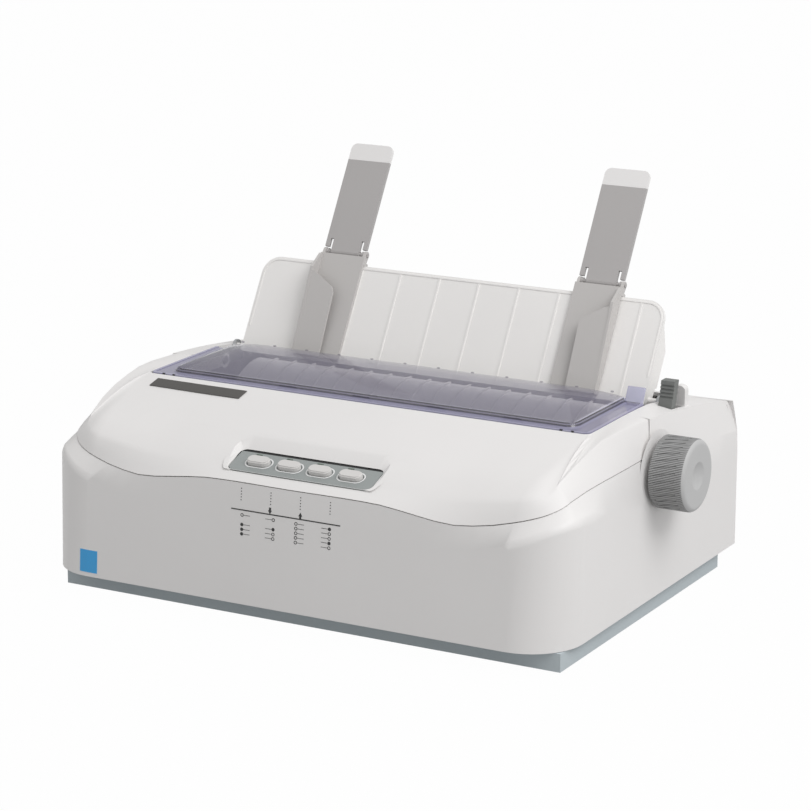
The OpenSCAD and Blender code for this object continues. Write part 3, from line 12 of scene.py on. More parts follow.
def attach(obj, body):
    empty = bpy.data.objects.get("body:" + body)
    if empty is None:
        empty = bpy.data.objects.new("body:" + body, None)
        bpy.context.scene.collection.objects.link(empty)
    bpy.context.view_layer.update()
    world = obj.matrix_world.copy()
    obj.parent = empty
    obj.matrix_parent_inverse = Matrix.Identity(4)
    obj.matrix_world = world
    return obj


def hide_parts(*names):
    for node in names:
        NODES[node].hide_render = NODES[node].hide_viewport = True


bl_info = {
    "name": "Dot matrix printer",
    "version": (1, 0, 0),
    "blender": (4, 5, 0),
    "location": "3D View > Sidebar > Printer",
    "description": "Dresses the packed printer with finishes, a window, prints and a stage",
    "category": "Object",
}

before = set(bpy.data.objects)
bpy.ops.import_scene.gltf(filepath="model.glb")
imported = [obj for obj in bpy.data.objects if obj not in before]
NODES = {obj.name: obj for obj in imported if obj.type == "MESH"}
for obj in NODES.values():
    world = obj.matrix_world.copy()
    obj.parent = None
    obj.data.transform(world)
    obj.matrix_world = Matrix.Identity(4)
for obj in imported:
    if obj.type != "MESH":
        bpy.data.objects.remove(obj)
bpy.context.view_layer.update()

# ---------------------------------------------------------------- places on the printer

# axis of the platen knob
KNOB_Y, KNOB_Z = 0.0108, 0.102
# lower edge of the control panel, its tilt and the distance between its buttons
PANEL_Y, PANEL_Z, PANEL_TILT = -0.130, 0.104, math.radians(20)
BUTTON_PITCH = 0.0237
# window: half its width, its front and rear edges, and the deck that it lies on
WINDOW_HALF, WINDOW_FRONT, WINDOW_REAR, DECK_Z = 0.1722, -0.0454, 0.042, 0.137
# how much further in the window's step lies at its sides, and the width of its raised lip
SIDE_STEP, LIP_WIDTH = 0.006, 0.0022
# middle of the rounding at each upper rear corner of the case
CORNER_X, CORNER_Y = 0.197, 0.142
# prints start as flat sheets that stand here, in front of the printer
PRINT_Y = -0.16


def srgb(red, green, blue):
    """A linear colour from the 0 to 255 values of a paint card."""
    out = []
    for value in (red, green, blue):
        c = value / 255
        out.append(c / 12.92 if c <= 0.04045 else ((c + 0.055) / 1.055) ** 2.4)
    return (*out, 1.0)


# ---------------------------------------------------------------- settings


def colour_prop(name, description, value):
    """A colour that the sidebar shows."""
    return bpy.props.FloatVectorProperty(
        name=name, description=description, subtype="COLOR", size=4,
        min=0.0, max=1.0, default=value)


def length_prop(name, description, value):
    """A length that the sidebar shows."""
    return bpy.props.FloatProperty(
        name=name, description=description, default=value, unit="LENGTH")


class PrinterFinishSettings(bpy.types.PropertyGroup):
    """Colours and grains of the printer's finishes"""

    shell: colour_prop("Shell", "Warm white of the case and covers", srgb(233, 231, 230))
    tray: colour_prop("Tray", "Blue-grey of the base tray", srgb(188, 197, 201))
    guide: colour_prop("Edge guides", "Grey of the sliding edge guides", srgb(200, 197, 195))
    arm: colour_prop("Arms", "Grey of the support arms", srgb(183, 180, 179))
    tip: colour_prop("Tips", "Pale grey of the arm tips", srgb(240, 238, 237))
    knob: colour_prop("Knob", "Grey of the platen knob", srgb(190, 190, 190))
    lever: colour_prop("Lever", "Dark grey of the release lever", srgb(118, 120, 118))
    panel: colour_prop("Panel", "Silver grey of the panel plate", srgb(160, 165, 164))
    button: colour_prop("Buttons", "Light grey of the buttons", srgb(214, 212, 210))
    window: colour_prop("Window", "Smoke tint of the window", (0.150, 0.135, 0.225, 1.0))
    grain: bpy.props.FloatProperty(
        name="Grain", description="Depth of the moulding grain", default=0.10, min=0.0, max=1.0)


class PrinterTrimSettings(bpy.types.PropertyGroup):
    """Sizes of the small trim"""

    plate_length: length_prop("Name plate length", "Length of the bare plate", 0.0737)
    plate_depth: length_prop("Name plate depth", "Depth of the bare plate", 0.011)
    ring_width: length_prop("Ring width", "Width of the printed rings round the buttons", 0.0009)


class PrinterStageSettings(bpy.types.PropertyGroup):
    """Camera and light"""

    lens: bpy.props.FloatProperty(
        name="Lens", description="Focal length in millimetres", default=135.04, min=10.0)
    azimuth: bpy.props.FloatProperty(
        name="Azimuth", description="Turn of the camera round the printer",
        subtype="ANGLE", default=math.radians(28.985))
    elevation: bpy.props.FloatProperty(
        name="Elevation", description="Height of the camera over the horizon",
        subtype="ANGLE", default=math.radians(14.817))
    sky: bpy.props.FloatProperty(
        name="Sky", description="Strength of the even light", default=0.62, min=0.0)
    key: bpy.props.FloatProperty(
        name="Key", description="Power of the large lamp over the right shoulder", default=30.0, min=0.0)


# ---------------------------------------------------------------- shader maths


class Signal:
    """A number socket of a node tree that takes part in Python expressions."""

    def __init__(self, paint, socket):
        self.paint = paint
        self.socket = socket

    def maths(self, operation, *values):
        return self.paint.maths(operation, *values)

    def __add__(self, other):
        return self.maths("ADD", self, other)

    __radd__ = __add__

    def __sub__(self, other):
        return self.maths("SUBTRACT", self, other)

    def __rsub__(self, other):
        return self.maths("SUBTRACT", other, self)

    def __mul__(self, other):
        return self.maths("MULTIPLY", self, other)

    __rmul__ = __mul__

    def __pow__(self, other):
        return self.maths("POWER", self, other)

    def __gt__(self, other):
        return self.maths("GREATER_THAN", self, other)

    def __lt__(self, other):
        return self.maths("LESS_THAN", self, other)

    def wave(self):
        """The sine, from -1 to 1."""
        return self.maths("SINE", self)

    def size(self):
        """The value without its sign."""
        return self.maths("ABSOLUTE", self)

    def clamped(self):
        """The value kept between 0 and 1."""
        return self.paint.node("ShaderNodeClamp", {}, self, 0.0, 1.0).signal(0)


class Step:
    """One node, with its output sockets at hand."""

    def __init__(self, paint, node):
        self.paint = paint
        self.made = node

    def signal(self, output):
        return Signal(self.paint, self.made.outputs[output])


class Finish:
    """A new material: a Principled shader and the nodes that feed it."""

    def __init__(self, name, colour, roughness, **sockets):
        self.material = bpy.data.materials.new(name)
        self.material.use_nodes = True
        self.tree = self.material.node_tree
        self.tree.nodes.clear()
        self.end = self.tree.nodes.new("ShaderNodeOutputMaterial")
        self.shader = self.tree.nodes.new("ShaderNodeBsdfPrincipled")
        self.tree.links.new(self.shader.outputs[0], self.end.inputs[0])
        self.put("Base Color", colour)
        self.put("Roughness", roughness)
        for key, value in sockets.items():
            self.put(key.replace("_", " "), value)
        self.place = None

    def put(self, name, value):
        """Sets a socket of the shader, or links a signal to it."""
        self.feed(self.shader.inputs[name], value)

    def feed(self, socket, value):
        """Links a signal or a node's first output to a socket, or sets the socket to a plain value."""
        if isinstance(value, Signal):
            self.tree.links.new(value.socket, socket)
        elif isinstance(value, Step):
            self.tree.links.new(value.made.outputs[0], socket)
        elif value is not None:
            socket.default_value = value

    def node(self, kind, settings, *values, **named):
        """Any node: its settings first, then the values or links of its sockets."""
        made = self.tree.nodes.new(kind)
        for key, value in settings.items():
            setattr(made, key, value)
        for socket, value in zip(made.inputs, values):
            self.feed(socket, value)
        for key, value in named.items():
            self.feed(made.inputs[key.replace("_", " ")], value)
        return Step(self, made)

    def maths(self, operation, *values):
        return self.node("ShaderNodeMath", {"operation": operation}, *values).signal(0)

    def here(self):
        """Object coordinates, in metres."""
        if self.place is None:
            self.place = self.node("ShaderNodeTexCoord", {}).signal("Object")
        return self.place

    def axes(self):
        """X, Y and Z of the place, as three signals."""
        split = self.node("ShaderNodeSeparateXYZ", {}, self.here())
        return split.signal(0), split.signal(1), split.signal(2)

    def stretched(self, x, y, z):
        """The place, with each axis multiplied by its own factor."""
        return self.node("ShaderNodeVectorMath", {"operation": "MULTIPLY"}, self.here(), (x, y, z)).signal(0)

    def noise(self, scale, detail=2.0, rough=0.5, where=None):
        """Soft clouds, from 0 to 1."""
        step = self.node("ShaderNodeTexNoise", {}, Vector=where or self.here(),
                         Scale=scale, Detail=detail, Roughness=rough)
        return step.signal(0)

    def cells(self, scale):
        """Distance to the nearest of many scattered points."""
        return self.node("ShaderNodeTexVoronoi", {}, Vector=self.here(), Scale=scale).signal("Distance")

    def blend(self, factor, first, second):
        """A colour between two colours."""
        step = self.node("ShaderNodeMix", {"data_type": "RGBA"})
        self.feed(step.made.inputs[0], factor)
        self.feed(step.made.inputs[6], first)
        self.feed(step.made.inputs[7], second)
        return Signal(self, step.made.outputs[2])

    def relief(self, height, strength, distance=0.0002):
        """Lets a signal stand out as a fine bump, with its depth in metres."""
        step = self.node("ShaderNodeBump", {}, Strength=strength, Distance=distance, Height=height)
        self.put("Normal", step.signal(0))


def shade(colour, factor):
    """A colour made darker or lighter."""
    return (colour[0] * factor, colour[1] * factor, colour[2] * factor, 1.0)


# ---------------------------------------------------------------- finishes


def moulded(name, colour, grain=0.1, rough=0.42, speck=2600.0, spread=0.035):
    """Injection-moulded plastic: a fine spark grain, and a faint cloudiness."""
    f = Finish(name, colour, rough, Specular_IOR_Level=0.42)
    cloud = f.noise(9.0, 3.0)
    fine = f.noise(speck, 2.0, 0.6)
    palest = min(1.0 + spread, 1.0 / max(colour[:3]))
    f.put("Base Color", f.blend(cloud, shade(colour, 1.0 - spread), shade(colour, palest)))
    f.put("Roughness", rough - 0.05 + fine * 0.1 + cloud * 0.05)
    f.relief(fine, grain, 0.00012)
    return f.material


# the window's step is this far in from its edge, and the painted highlight along its crest this far
STEP_IN, CREST_HIGHLIGHT_IN = 0.0095, 0.0102
# upper end and colour of each painted line up the step, from the top line down to the flange: the dark lines
# are painted shade, the pale ones painted highlight
STEP_SHADE_AND_HIGHLIGHT = (
    (0.1404, (0.035, 0.032, 0.050, 1.0)),
    (0.1396, (0.24, 0.23, 0.31, 1.0)),
    (0.1389, (0.055, 0.050, 0.078, 1.0)),
    (0.1379, (0.30, 0.29, 0.42, 1.0)),
)
# the lifting tab lies to the right of this X and behind this Y
TAB_X, TAB_Y = 0.1572, 0.0406


def smoked(name, colour):
    """Clear smoke-tinted plastic: lavender at its rim, painted shade and highlight lines up the step, a
    painted sheen at grazing angles, clear over the platen.
    """
    f = Finish(name, colour, 0.05, Specular_IOR_Level=0.6, Coat_Weight=0.5, Coat_Roughness=0.03)
    x, y, z = f.axes()
    side, front = WINDOW_HALF - x.size(), y - WINDOW_FRONT
    outer = f.maths("MINIMUM", side, front)
    inner = f.maths("MINIMUM", side - SIDE_STEP, front)
    edge = f.node("ShaderNodeLayerWeight", {}, Blend=0.3).signal("Facing")
    cloud = f.noise(14.0, 2.0)
    # painted sheen: the colour turns a paler lavender where the surface is seen at a grazing angle
    body = f.blend(edge, colour, (0.27, 0.26, 0.34, 1.0))
    steps = inner < STEP_IN
    # painted highlight: a pale line along the crest of the step
    tone = f.blend((inner < CREST_HIGHLIGHT_IN) * (z > STEP_SHADE_AND_HIGHLIGHT[0][0]), body, (0.50, 0.49, 0.60, 1.0))
    # painted shade and highlight: dark and pale lines up the step
    for top, line in STEP_SHADE_AND_HIGHLIGHT:
        tone = f.blend(steps * (z < top), tone, line)
    rim = f.blend(outer < LIP_WIDTH, tone, (0.44, 0.43, 0.60, 1.0))
    tab = (y > TAB_Y) * (x > TAB_X)
    f.put("Base Color", f.blend(tab, rim, (0.52, 0.52, 0.72, 1.0)))
    dense = steps * 0.34
    f.put("Alpha", ((0.27 + edge * 0.36 + cloud * 0.05 + dense) * (1.0 - tab * 0.25)).clamped())
    f.put("Roughness", 0.04 + cloud * 0.03)
    return f.material


def ribbed_knob(name, colour):
    """Moulded knob: its rim is cut into fine slanted ribs and darkened with painted shade in the grooves;
    its face is smooth.
    """
    f = Finish(name, colour, 0.52, Specular_IOR_Level=0.42)
    rib_count, slant = 96.0, 14.0
    rim_radius, face_x = 0.0232, 0.2252
    x, y, z = f.axes()
    across, up = y - KNOB_Y, z - KNOB_Z
    reach = (across * across + up * up) ** 0.5
    turn = f.maths("ARCTAN2", up, across) + x * slant
    ribs = (turn * rib_count).wave() * 0.5 + 0.5
    rim = (reach > rim_radius) * (x < face_x)
    fine = f.noise(2200.0, 2.0, 0.6)
    # painted shade: the rim is drawn much darker, darkest between the ribs, for the shadow in its grooves
    groove_shade = f.blend(ribs, shade(colour, 0.30), shade(colour, 0.80))
    f.put("Base Color", f.blend(rim, colour, groove_shade))
    f.put("Roughness", 0.46 + fine * 0.12)
    f.relief(ribs * rim * 2.0 + fine * 0.1, 0.5, 0.0003)
    return f.material


def rubber(name, colour, scale=900.0):
    """Matt rubber with a little dust on it."""
    f = Finish(name, colour, 0.75, Specular_IOR_Level=0.25)
    fine = f.noise(scale, 4.0, 0.65)
    dust = f.noise(30.0, 3.0)
    f.put("Base Color", f.blend(dust * 0.5, shade(colour, 0.85), shade(colour, 1.6)))
    f.put("Roughness", 0.66 + fine * 0.2)
    f.relief(fine, 0.25, 0.00015)
    return f.material


def plated(name, colour, rough=0.34, streak=(40.0, 900.0, 900.0)):
    """Zinc-plated or ground steel with a drawn direction."""
    f = Finish(name, colour, rough, Metallic=0.92)
    drawn = f.noise(1.0, 3.0, 0.6, f.stretched(*streak))
    bloom = f.noise(26.0, 4.0, 0.6)
    f.put("Base Color", f.blend(bloom, shade(colour, 0.86), shade(colour, 1.08)))
    f.put("Roughness", rough - 0.08 + drawn * 0.12 + bloom * 0.1)
    f.relief(drawn, 0.12, 0.00008)
    return f.material


def silver_plate(name, colour):
    """Panel plate: printed film with a metallic fleck, and painted shade along its upper edge, where the gap
    to the recess wall lies.
    """
    f = Finish(name, colour, 0.4, Metallic=0.25, Specular_IOR_Level=0.5)
    shade_start = 0.0207
    fleck = f.noise(3600.0, 1.0)
    cloud = f.noise(20.0, 2.0)
    x, y, z = f.axes()
    depth = (y - PANEL_Y) * math.cos(PANEL_TILT) + (z - PANEL_Z) * math.sin(PANEL_TILT)
    film = f.blend(fleck, shade(colour, 0.86), shade(colour, 1.12))
    # painted shade: past this depth the plate turns near black, standing in for the shadow in the gap behind
    # its upper edge
    f.put("Base Color", f.blend(depth > shade_start, film, (0.02, 0.02, 0.02, 1.0)))
    f.put("Roughness", 0.34 + fleck * 0.14 + cloud * 0.04)
    f.relief(fleck, 0.05, 0.00005)
    return f.material


def lacquered_board(name):
    """Circuit board: green lacquer over copper tracks, with tinned pads."""
    green, track, tin = (0.010, 0.085, 0.035, 1.0), (0.02, 0.16, 0.06, 1.0), (0.5, 0.5, 0.48, 1.0)
    f = Finish(name, green, 0.35, Specular_IOR_Level=0.5)
    x, y, z = f.axes()
    lane = ((x * 330.0 + f.noise(60.0, 0.0) * 3.0).wave() > 0.35)
    cross = ((y * 400.0 + f.noise(45.0, 0.0) * 4.0).wave() > 0.55)
    pads = f.cells(330.0) < 0.16
    f.put("Base Color", f.blend(pads, f.blend((lane + cross).clamped(), green, track), tin))
    f.put("Metallic", pads * 0.8)
    f.put("Roughness", 0.42 - (lane + cross).clamped() * 0.08)
    f.relief((lane + cross).clamped(), 0.2, 0.00006)
    return f.material


def toothed_belt(name):
    """Black rubber belt with a tooth every 2 mm."""
    f = Finish(name, (0.02, 0.02, 0.02, 1.0), 0.7, Specular_IOR_Level=0.25)
    turn_per_metre = 3141.6
    root, crest = (0.012, 0.012, 0.012, 1.0), (0.035, 0.035, 0.035, 1.0)
    x, y, z = f.axes()
    tooth = (x * turn_per_metre).wave()
    f.put("Base Color", f.blend((tooth * 0.5 + 0.5).clamped(), root, crest))
    f.put("Roughness", 0.62 + f.noise(700.0) * 0.2)
    f.relief(tooth, 0.5, 0.0004)
    return f.material


def ink(name, colour):
    """Screen-printed ink, a little broken in its coverage."""
    f = Finish(name, colour, 0.55, Specular_IOR_Level=0.3)
    patch = f.noise(1400.0, 2.0)
    thin = (*(0.5 * channel + 0.12 for channel in colour[:3]), 1.0)
    f.put("Base Color", f.blend(patch * 0.4, colour, thin))
    f.put("Roughness", 0.5 + patch * 0.15)
    return f.material


def lens(name, colour):
    """Unlit lamp lens with a cast pattern."""
    f = Finish(name, colour, 0.12, Specular_IOR_Level=0.6, Coat_Weight=0.5)
    ring = f.cells(900.0)
    f.put("Base Color", f.blend(ring, shade(colour, 0.7), shade(colour, 1.2)))
    f.put("Roughness", 0.1 + ring * 0.1)
    return f.material


def make_finishes(s):
    """One material for each finish of the printer, by its own name."""
    g = s.grain
    return {
        "shell": moulded("warm_white_shell", tuple(s.shell), g),
        # painted light: the sheet guide is the shell's plastic, drawn in this lighter copy of its white for
        # the light that falls on it
        "bright": moulded("shell_painted_lighter", srgb(246, 244, 242), g),
        "inner": moulded("white_plastic", tuple(shade(s.shell, 0.97)), g, 0.5),
        "tray": moulded("blue_grey_tray", tuple(s.tray), g * 1.4, 0.55, 1900.0, 0.05),
        "guide": moulded("edge_guide_grey", tuple(s.guide), g * 1.2, 0.5),
        "arm": moulded("arm_grey", tuple(s.arm), g * 1.2, 0.5),
        "tip": moulded("tip_grey", tuple(s.tip), g, 0.45),
        "knob": ribbed_knob("knob_grey", tuple(s.knob)),
        "lever": moulded("lever_grey", tuple(s.lever), g * 1.4, 0.55),
        "button": moulded("button_grey", tuple(s.button), g * 0.7, 0.38),
        "black": moulded("black_plastic", (0.022, 0.022, 0.024, 1.0), g * 2.0, 0.5, 1700.0, 0.25),
        "nylon": moulded("natural_nylon", (0.78, 0.75, 0.66, 1.0), g * 0.6, 0.36, 1500.0),
        "motor": moulded("motor_black", (0.03, 0.03, 0.034, 1.0), g, 0.35, 900.0, 0.2),
        "window": smoked("smoked_window", tuple(s.window)),
        "rubber": rubber("black_rubber", (0.02, 0.02, 0.021, 1.0)),
        "platen": rubber("platen_rubber", (0.016, 0.016, 0.018, 1.0), 2200.0),
        "zinc": plated("zinc_steel", (0.56, 0.57, 0.58, 1.0), 0.4, (300.0, 300.0, 40.0)),
        "ground": plated("ground_steel", (0.66, 0.66, 0.67, 1.0), 0.24, (60.0, 1600.0, 1600.0)),
        "brass": plated("machined_brass", (0.62, 0.45, 0.18, 1.0), 0.3, (900.0, 900.0, 900.0)),
        "head": plated("dark_cast_alloy", (0.17, 0.17, 0.18, 1.0), 0.45, (500.0, 500.0, 500.0)),
        "panel": silver_plate("panel_film", tuple(s.panel)),
        "board": lacquered_board("circuit_board"),
        "belt": toothed_belt("toothed_belt"),
        "dark_ink": ink("dark_print", (0.035, 0.035, 0.035, 1.0)),
        "white_ink": ink("white_print", (0.86, 0.86, 0.86, 1.0)),
        "plate": ink("name_plate_grey", srgb(82, 80, 77)),
        "blue": ink("blue_film", srgb(66, 172, 236)),
        "lens": lens("lamp_lens", (0.16, 0.2, 0.17, 1.0)),
    }


FINISH = {}

# finish of each CAD node that is shown as it is
NODE_FINISH = {
    "rubber_feet": "rubber", "cover_arms": "shell", "hinge_brackets": "zinc",
    "panel_board": "board", "main_board": "board", "power_board": "board",
    "side_frame_left": "zinc", "side_frame_right": "zinc", "crossbars": "zinc",
    "carriage_rail": "zinc", "carriage_shaft": "ground", "platen_shaft": "ground",
    "tractor_shaft": "ground", "tractor_rod": "ground", "paper_bail": "ground",
    "belt_pulley": "ground", "motor_pulley": "ground", "carriage": "black",
    "ribbon_cartridge": "black", "paper_chute": "black", "tractor_left": "black",
    "tractor_right": "black", "tractor_door_left": "black", "tractor_door_right": "black",
    "interface_port": "black", "power_inlet": "black", "power_switch": "black",
    "print_head": "head", "ribbon_knob": "inner", "ribbed_guide": "inner",
    "carriage_belt": "belt", "carriage_motor": "motor", "feed_motor": "motor",
    "platen_roller": "platen", "bail_rollers": "rubber", "platen_bushes": "nylon",
    "platen_gear": "nylon", "idler_gear": "nylon", "tractor_gear": "nylon",
    "sprocket_left": "nylon", "sprocket_right": "nylon", "feed_pinion": "brass",
}

# CAD node, new piece, body, record slot, finish, edge rounding in mm, crease angle
SHELLS = {
    "housing": [
        ("main_case", "case_shell", "printer_body", "warm_white_plastic", "shell", 0.4, 34),
        ("front_cover", "cover_shell", "front_lid", "warm_white_plastic", "shell", 0.5, 32),
        ("base_tray", "tray_shell", "printer_body", "blue_grey_tray", "tray", 0.5, 30),
    ],
    "panel": [
        ("control_panel", "panel_plate", "printer_body", "panel_grey", "panel", 0.25, 30),
        ("button_1", "button_cap_1", "button_one", "button_grey", "button", 0.5, 40),
        ("button_2", "button_cap_2", "button_two", "button_grey", "button", 0.5, 40),
        ("button_3", "button_cap_3", "button_three", "button_grey", "button", 0.5, 40),
        ("button_4", "button_cap_4", "button_four", "button_grey", "button", 0.5, 40),
    ],
    "guides": [
        ("sheet_guide", "rear_guide_shell", "rear_guide", "warm_white_plastic", "bright", 0.4, 30),
        ("edge_guide_left", "edge_guide_shell_left", "left_edge_guide",
         "light_grey_plastic", "guide", 0.35, 30),
        ("edge_guide_right", "edge_guide_shell_right", "right_edge_guide",
         "light_grey_plastic", "guide", 0.35, 30),
        ("support_arm_left", "arm_shell_left", "left_support_arm", "arm_grey", "arm", 0.4, 30),
        ("support_arm_right", "arm_shell_right", "right_support_arm", "arm_grey", "arm", 0.4, 30),
        ("arm_tip_left", "tip_shell_left", "left_support_arm", "tip_white", "tip", 0.4, 30),
        ("arm_tip_right", "tip_shell_right", "right_support_arm", "tip_white", "tip", 0.4, 30),
    ],
    "controls": [
        ("platen_knob", "knob_shell", "platen", "knob_grey", "knob", 0.35, 30),
        ("release_lever", "lever_shell", "lever", "lever_grey", "lever", 0.5, 30),
    ],
}

# ---------------------------------------------------------------- modelling help


def nothing_selected():
    """Object mode, with nothing selected."""
    if bpy.context.object and bpy.context.object.mode != "OBJECT":
        bpy.ops.object.mode_set(mode="OBJECT")
    bpy.ops.object.select_all(action="DESELECT")


def only(obj):
    """Selects one object alone and makes it the active one."""
    nothing_selected()
    obj.select_set(True)
    bpy.context.view_layer.objects.active = obj


def dress(obj, finish):
    """Gives an object one finish all over."""
    obj.data.materials.clear()
    obj.data.materials.append(FINISH[finish])


def seat(obj, finish, body):
    """Bakes the place into the mesh, and gives the piece its finish and body."""
    only(obj)
    bpy.ops.object.transform_apply(location=True, rotation=True, scale=True)
    dress(obj, finish)
    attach(obj, body)
    return obj


def apply_modifiers(obj):
    """Applies all modifiers of an object, in their order."""
    only(obj)
    for modifier in list(obj.modifiers):
        bpy.ops.object.modifier_apply(modifier=modifier.name)


def even_normals(obj):
    """Lets the large faces rule the shading, so that they stay flat."""
    weigh = obj.modifiers.new("normals", "WEIGHTED_NORMAL")
    weigh.keep_sharp = True
    weigh.weight = 80
    apply_modifiers(obj)


def sharp_edges(obj, angle):
    """Number and middle of each edge that turns by more than an angle."""
    only(obj)
    bpy.ops.object.mode_set(mode="EDIT")
    bpy.ops.mesh.select_mode(type="EDGE")
    bpy.ops.mesh.select_all(action="DESELECT")
    bpy.ops.mesh.edges_select_sharp(sharpness=math.radians(angle))
    bpy.ops.object.mode_set(mode="OBJECT")
    vertices = obj.data.vertices
    return [(e.index, (vertices[e.vertices[0]].co + vertices[e.vertices[1]].co) / 2)
            for e in obj.data.edges if e.select]


def round_edges(obj, picked, width, segments, clamp):
    """Bevels the picked edges, and no others."""
    weights = obj.data.attributes.new("bevel_weight_edge", "FLOAT", "EDGE")
    for index in picked:
        weights.data[index].value = 1.0
    bevel = obj.modifiers.new("edges", "BEVEL")
    bevel.width = width
    bevel.segments = segments
    bevel.limit_method = "WEIGHT"
    bevel.use_clamp_overlap = clamp
    apply_modifiers(obj)
    obj.data.attributes.remove(obj.data.attributes["bevel_weight_edge"])


def shell_of(node, name, body, slot, finish, edge, angle, reshape=None, keep_sharp=None):
    """A closed copy of a CAD node, with rounded edges and soft shading, stands for it.

    reshape alters the copy before its edges are rounded, and keep_sharp tells at
    which places edges and faces stay as they are.
    """
    obj = bpy.data.objects.new(name, NODES[node].data.copy())
    bpy.context.scene.collection.objects.link(obj)
    only(obj)
    bpy.ops.object.mode_set(mode="EDIT")
    bpy.ops.mesh.select_all(action="SELECT")
    bpy.ops.mesh.customdata_custom_splitnormals_clear()
    bpy.ops.mesh.remove_doubles(threshold=0.000002)
    bpy.ops.mesh.dissolve_limited(angle_limit=math.radians(0.4))
    bpy.ops.object.mode_set(mode="OBJECT")
    if reshape:
        reshape(obj)
    picked = [index for index, middle in sharp_edges(obj, angle) if not (keep_sharp and keep_sharp(middle))]
    round_edges(obj, picked, edge / 1000, 2, True)
    bpy.ops.object.shade_smooth_by_angle(angle=math.radians(angle))
    for face in obj.data.polygons:
        if keep_sharp and keep_sharp(face.center):
            face.use_smooth = False
    even_normals(obj)
    dress(obj, finish)
    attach(obj, body)
    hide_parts(node)
    return obj


def flat_disc(x, z, radius, hole=0.0, corners=24):
    """A printed dot or ring that stands in the X-Z plane."""
    nothing_selected()
    bpy.ops.mesh.primitive_circle_add(
        vertices=corners, radius=radius, fill_type="NGON", location=(x, PRINT_Y, z),
        rotation=(math.pi / 2, 0, 0))
    obj = bpy.context.object
    if hole:
        bpy.ops.object.mode_set(mode="EDIT")
        bpy.ops.mesh.select_all(action="SELECT")
        bpy.ops.mesh.inset(thickness=radius - hole)
        bpy.ops.mesh.delete(type="FACE")
        bpy.ops.object.mode_set(mode="OBJECT")
    only(obj)
    bpy.ops.object.transform_apply(location=True, rotation=True, scale=True)
    return obj


def flat_bar(x0, x1, z0, z1):
    """A printed line that stands in the X-Z plane."""
    nothing_selected()
    bpy.ops.mesh.primitive_plane_add(
        size=1, location=((x0 + x1) / 2, PRINT_Y, (z0 + z1) / 2), rotation=(math.pi / 2, 0, 0))
    obj = bpy.context.object
    obj.scale = (x1 - x0, z1 - z0, 1)
    bpy.ops.object.transform_apply(location=True, rotation=True, scale=True)
    return obj


def flat_arrow(x, z, up):
    """A printed feed arrow: a bar with its end spread to a head."""
    side = 1 if up else -1
    shaft = flat_bar(x - 0.0008, x + 0.0008, *sorted((z - side * 0.0023, z - side * 0.0002)))
    nothing_selected()
    bpy.ops.mesh.primitive_circle_add(
        vertices=3, radius=0.00175, fill_type="NGON", location=(x, PRINT_Y, z + side * 0.00055),
        rotation=(math.pi / 2, 0, 0))
    head = bpy.context.object
    head.scale = (1.0, side, 1.0)
    bpy.ops.object.transform_apply(location=True, rotation=True, scale=True)
    if not up:
        head.data.flip_normals()
    return [shaft, head]


def joined(objs, name):
    """Makes several objects one piece, with its name."""
    nothing_selected()
    for obj in objs:
        obj.select_set(True)
    bpy.context.view_layer.objects.active = objs[0]
    bpy.ops.object.join()
    objs[0].name = name
    objs[0].data.name = name
    return objs[0]


def laid_on(obj, target, gap, thickness, axis):
    """Wraps a flat sheet onto a shell, seen along one axis, and gives it a thickness."""
    wrap = obj.modifiers.new("lay", "SHRINKWRAP")
    wrap.target = target
    wrap.wrap_method = "PROJECT"
    wrap.use_project_x = axis == "X"
    wrap.use_project_y = axis == "Y"
    wrap.use_project_z = axis == "Z"
    wrap.use_negative_direction = True
    wrap.use_positive_direction = True
    wrap.offset = gap
    solid = obj.modifiers.new("thickness", "SOLIDIFY")
    solid.thickness = thickness
    solid.offset = 1.0
    apply_modifiers(obj)


# ---------------------------------------------------------------- operators


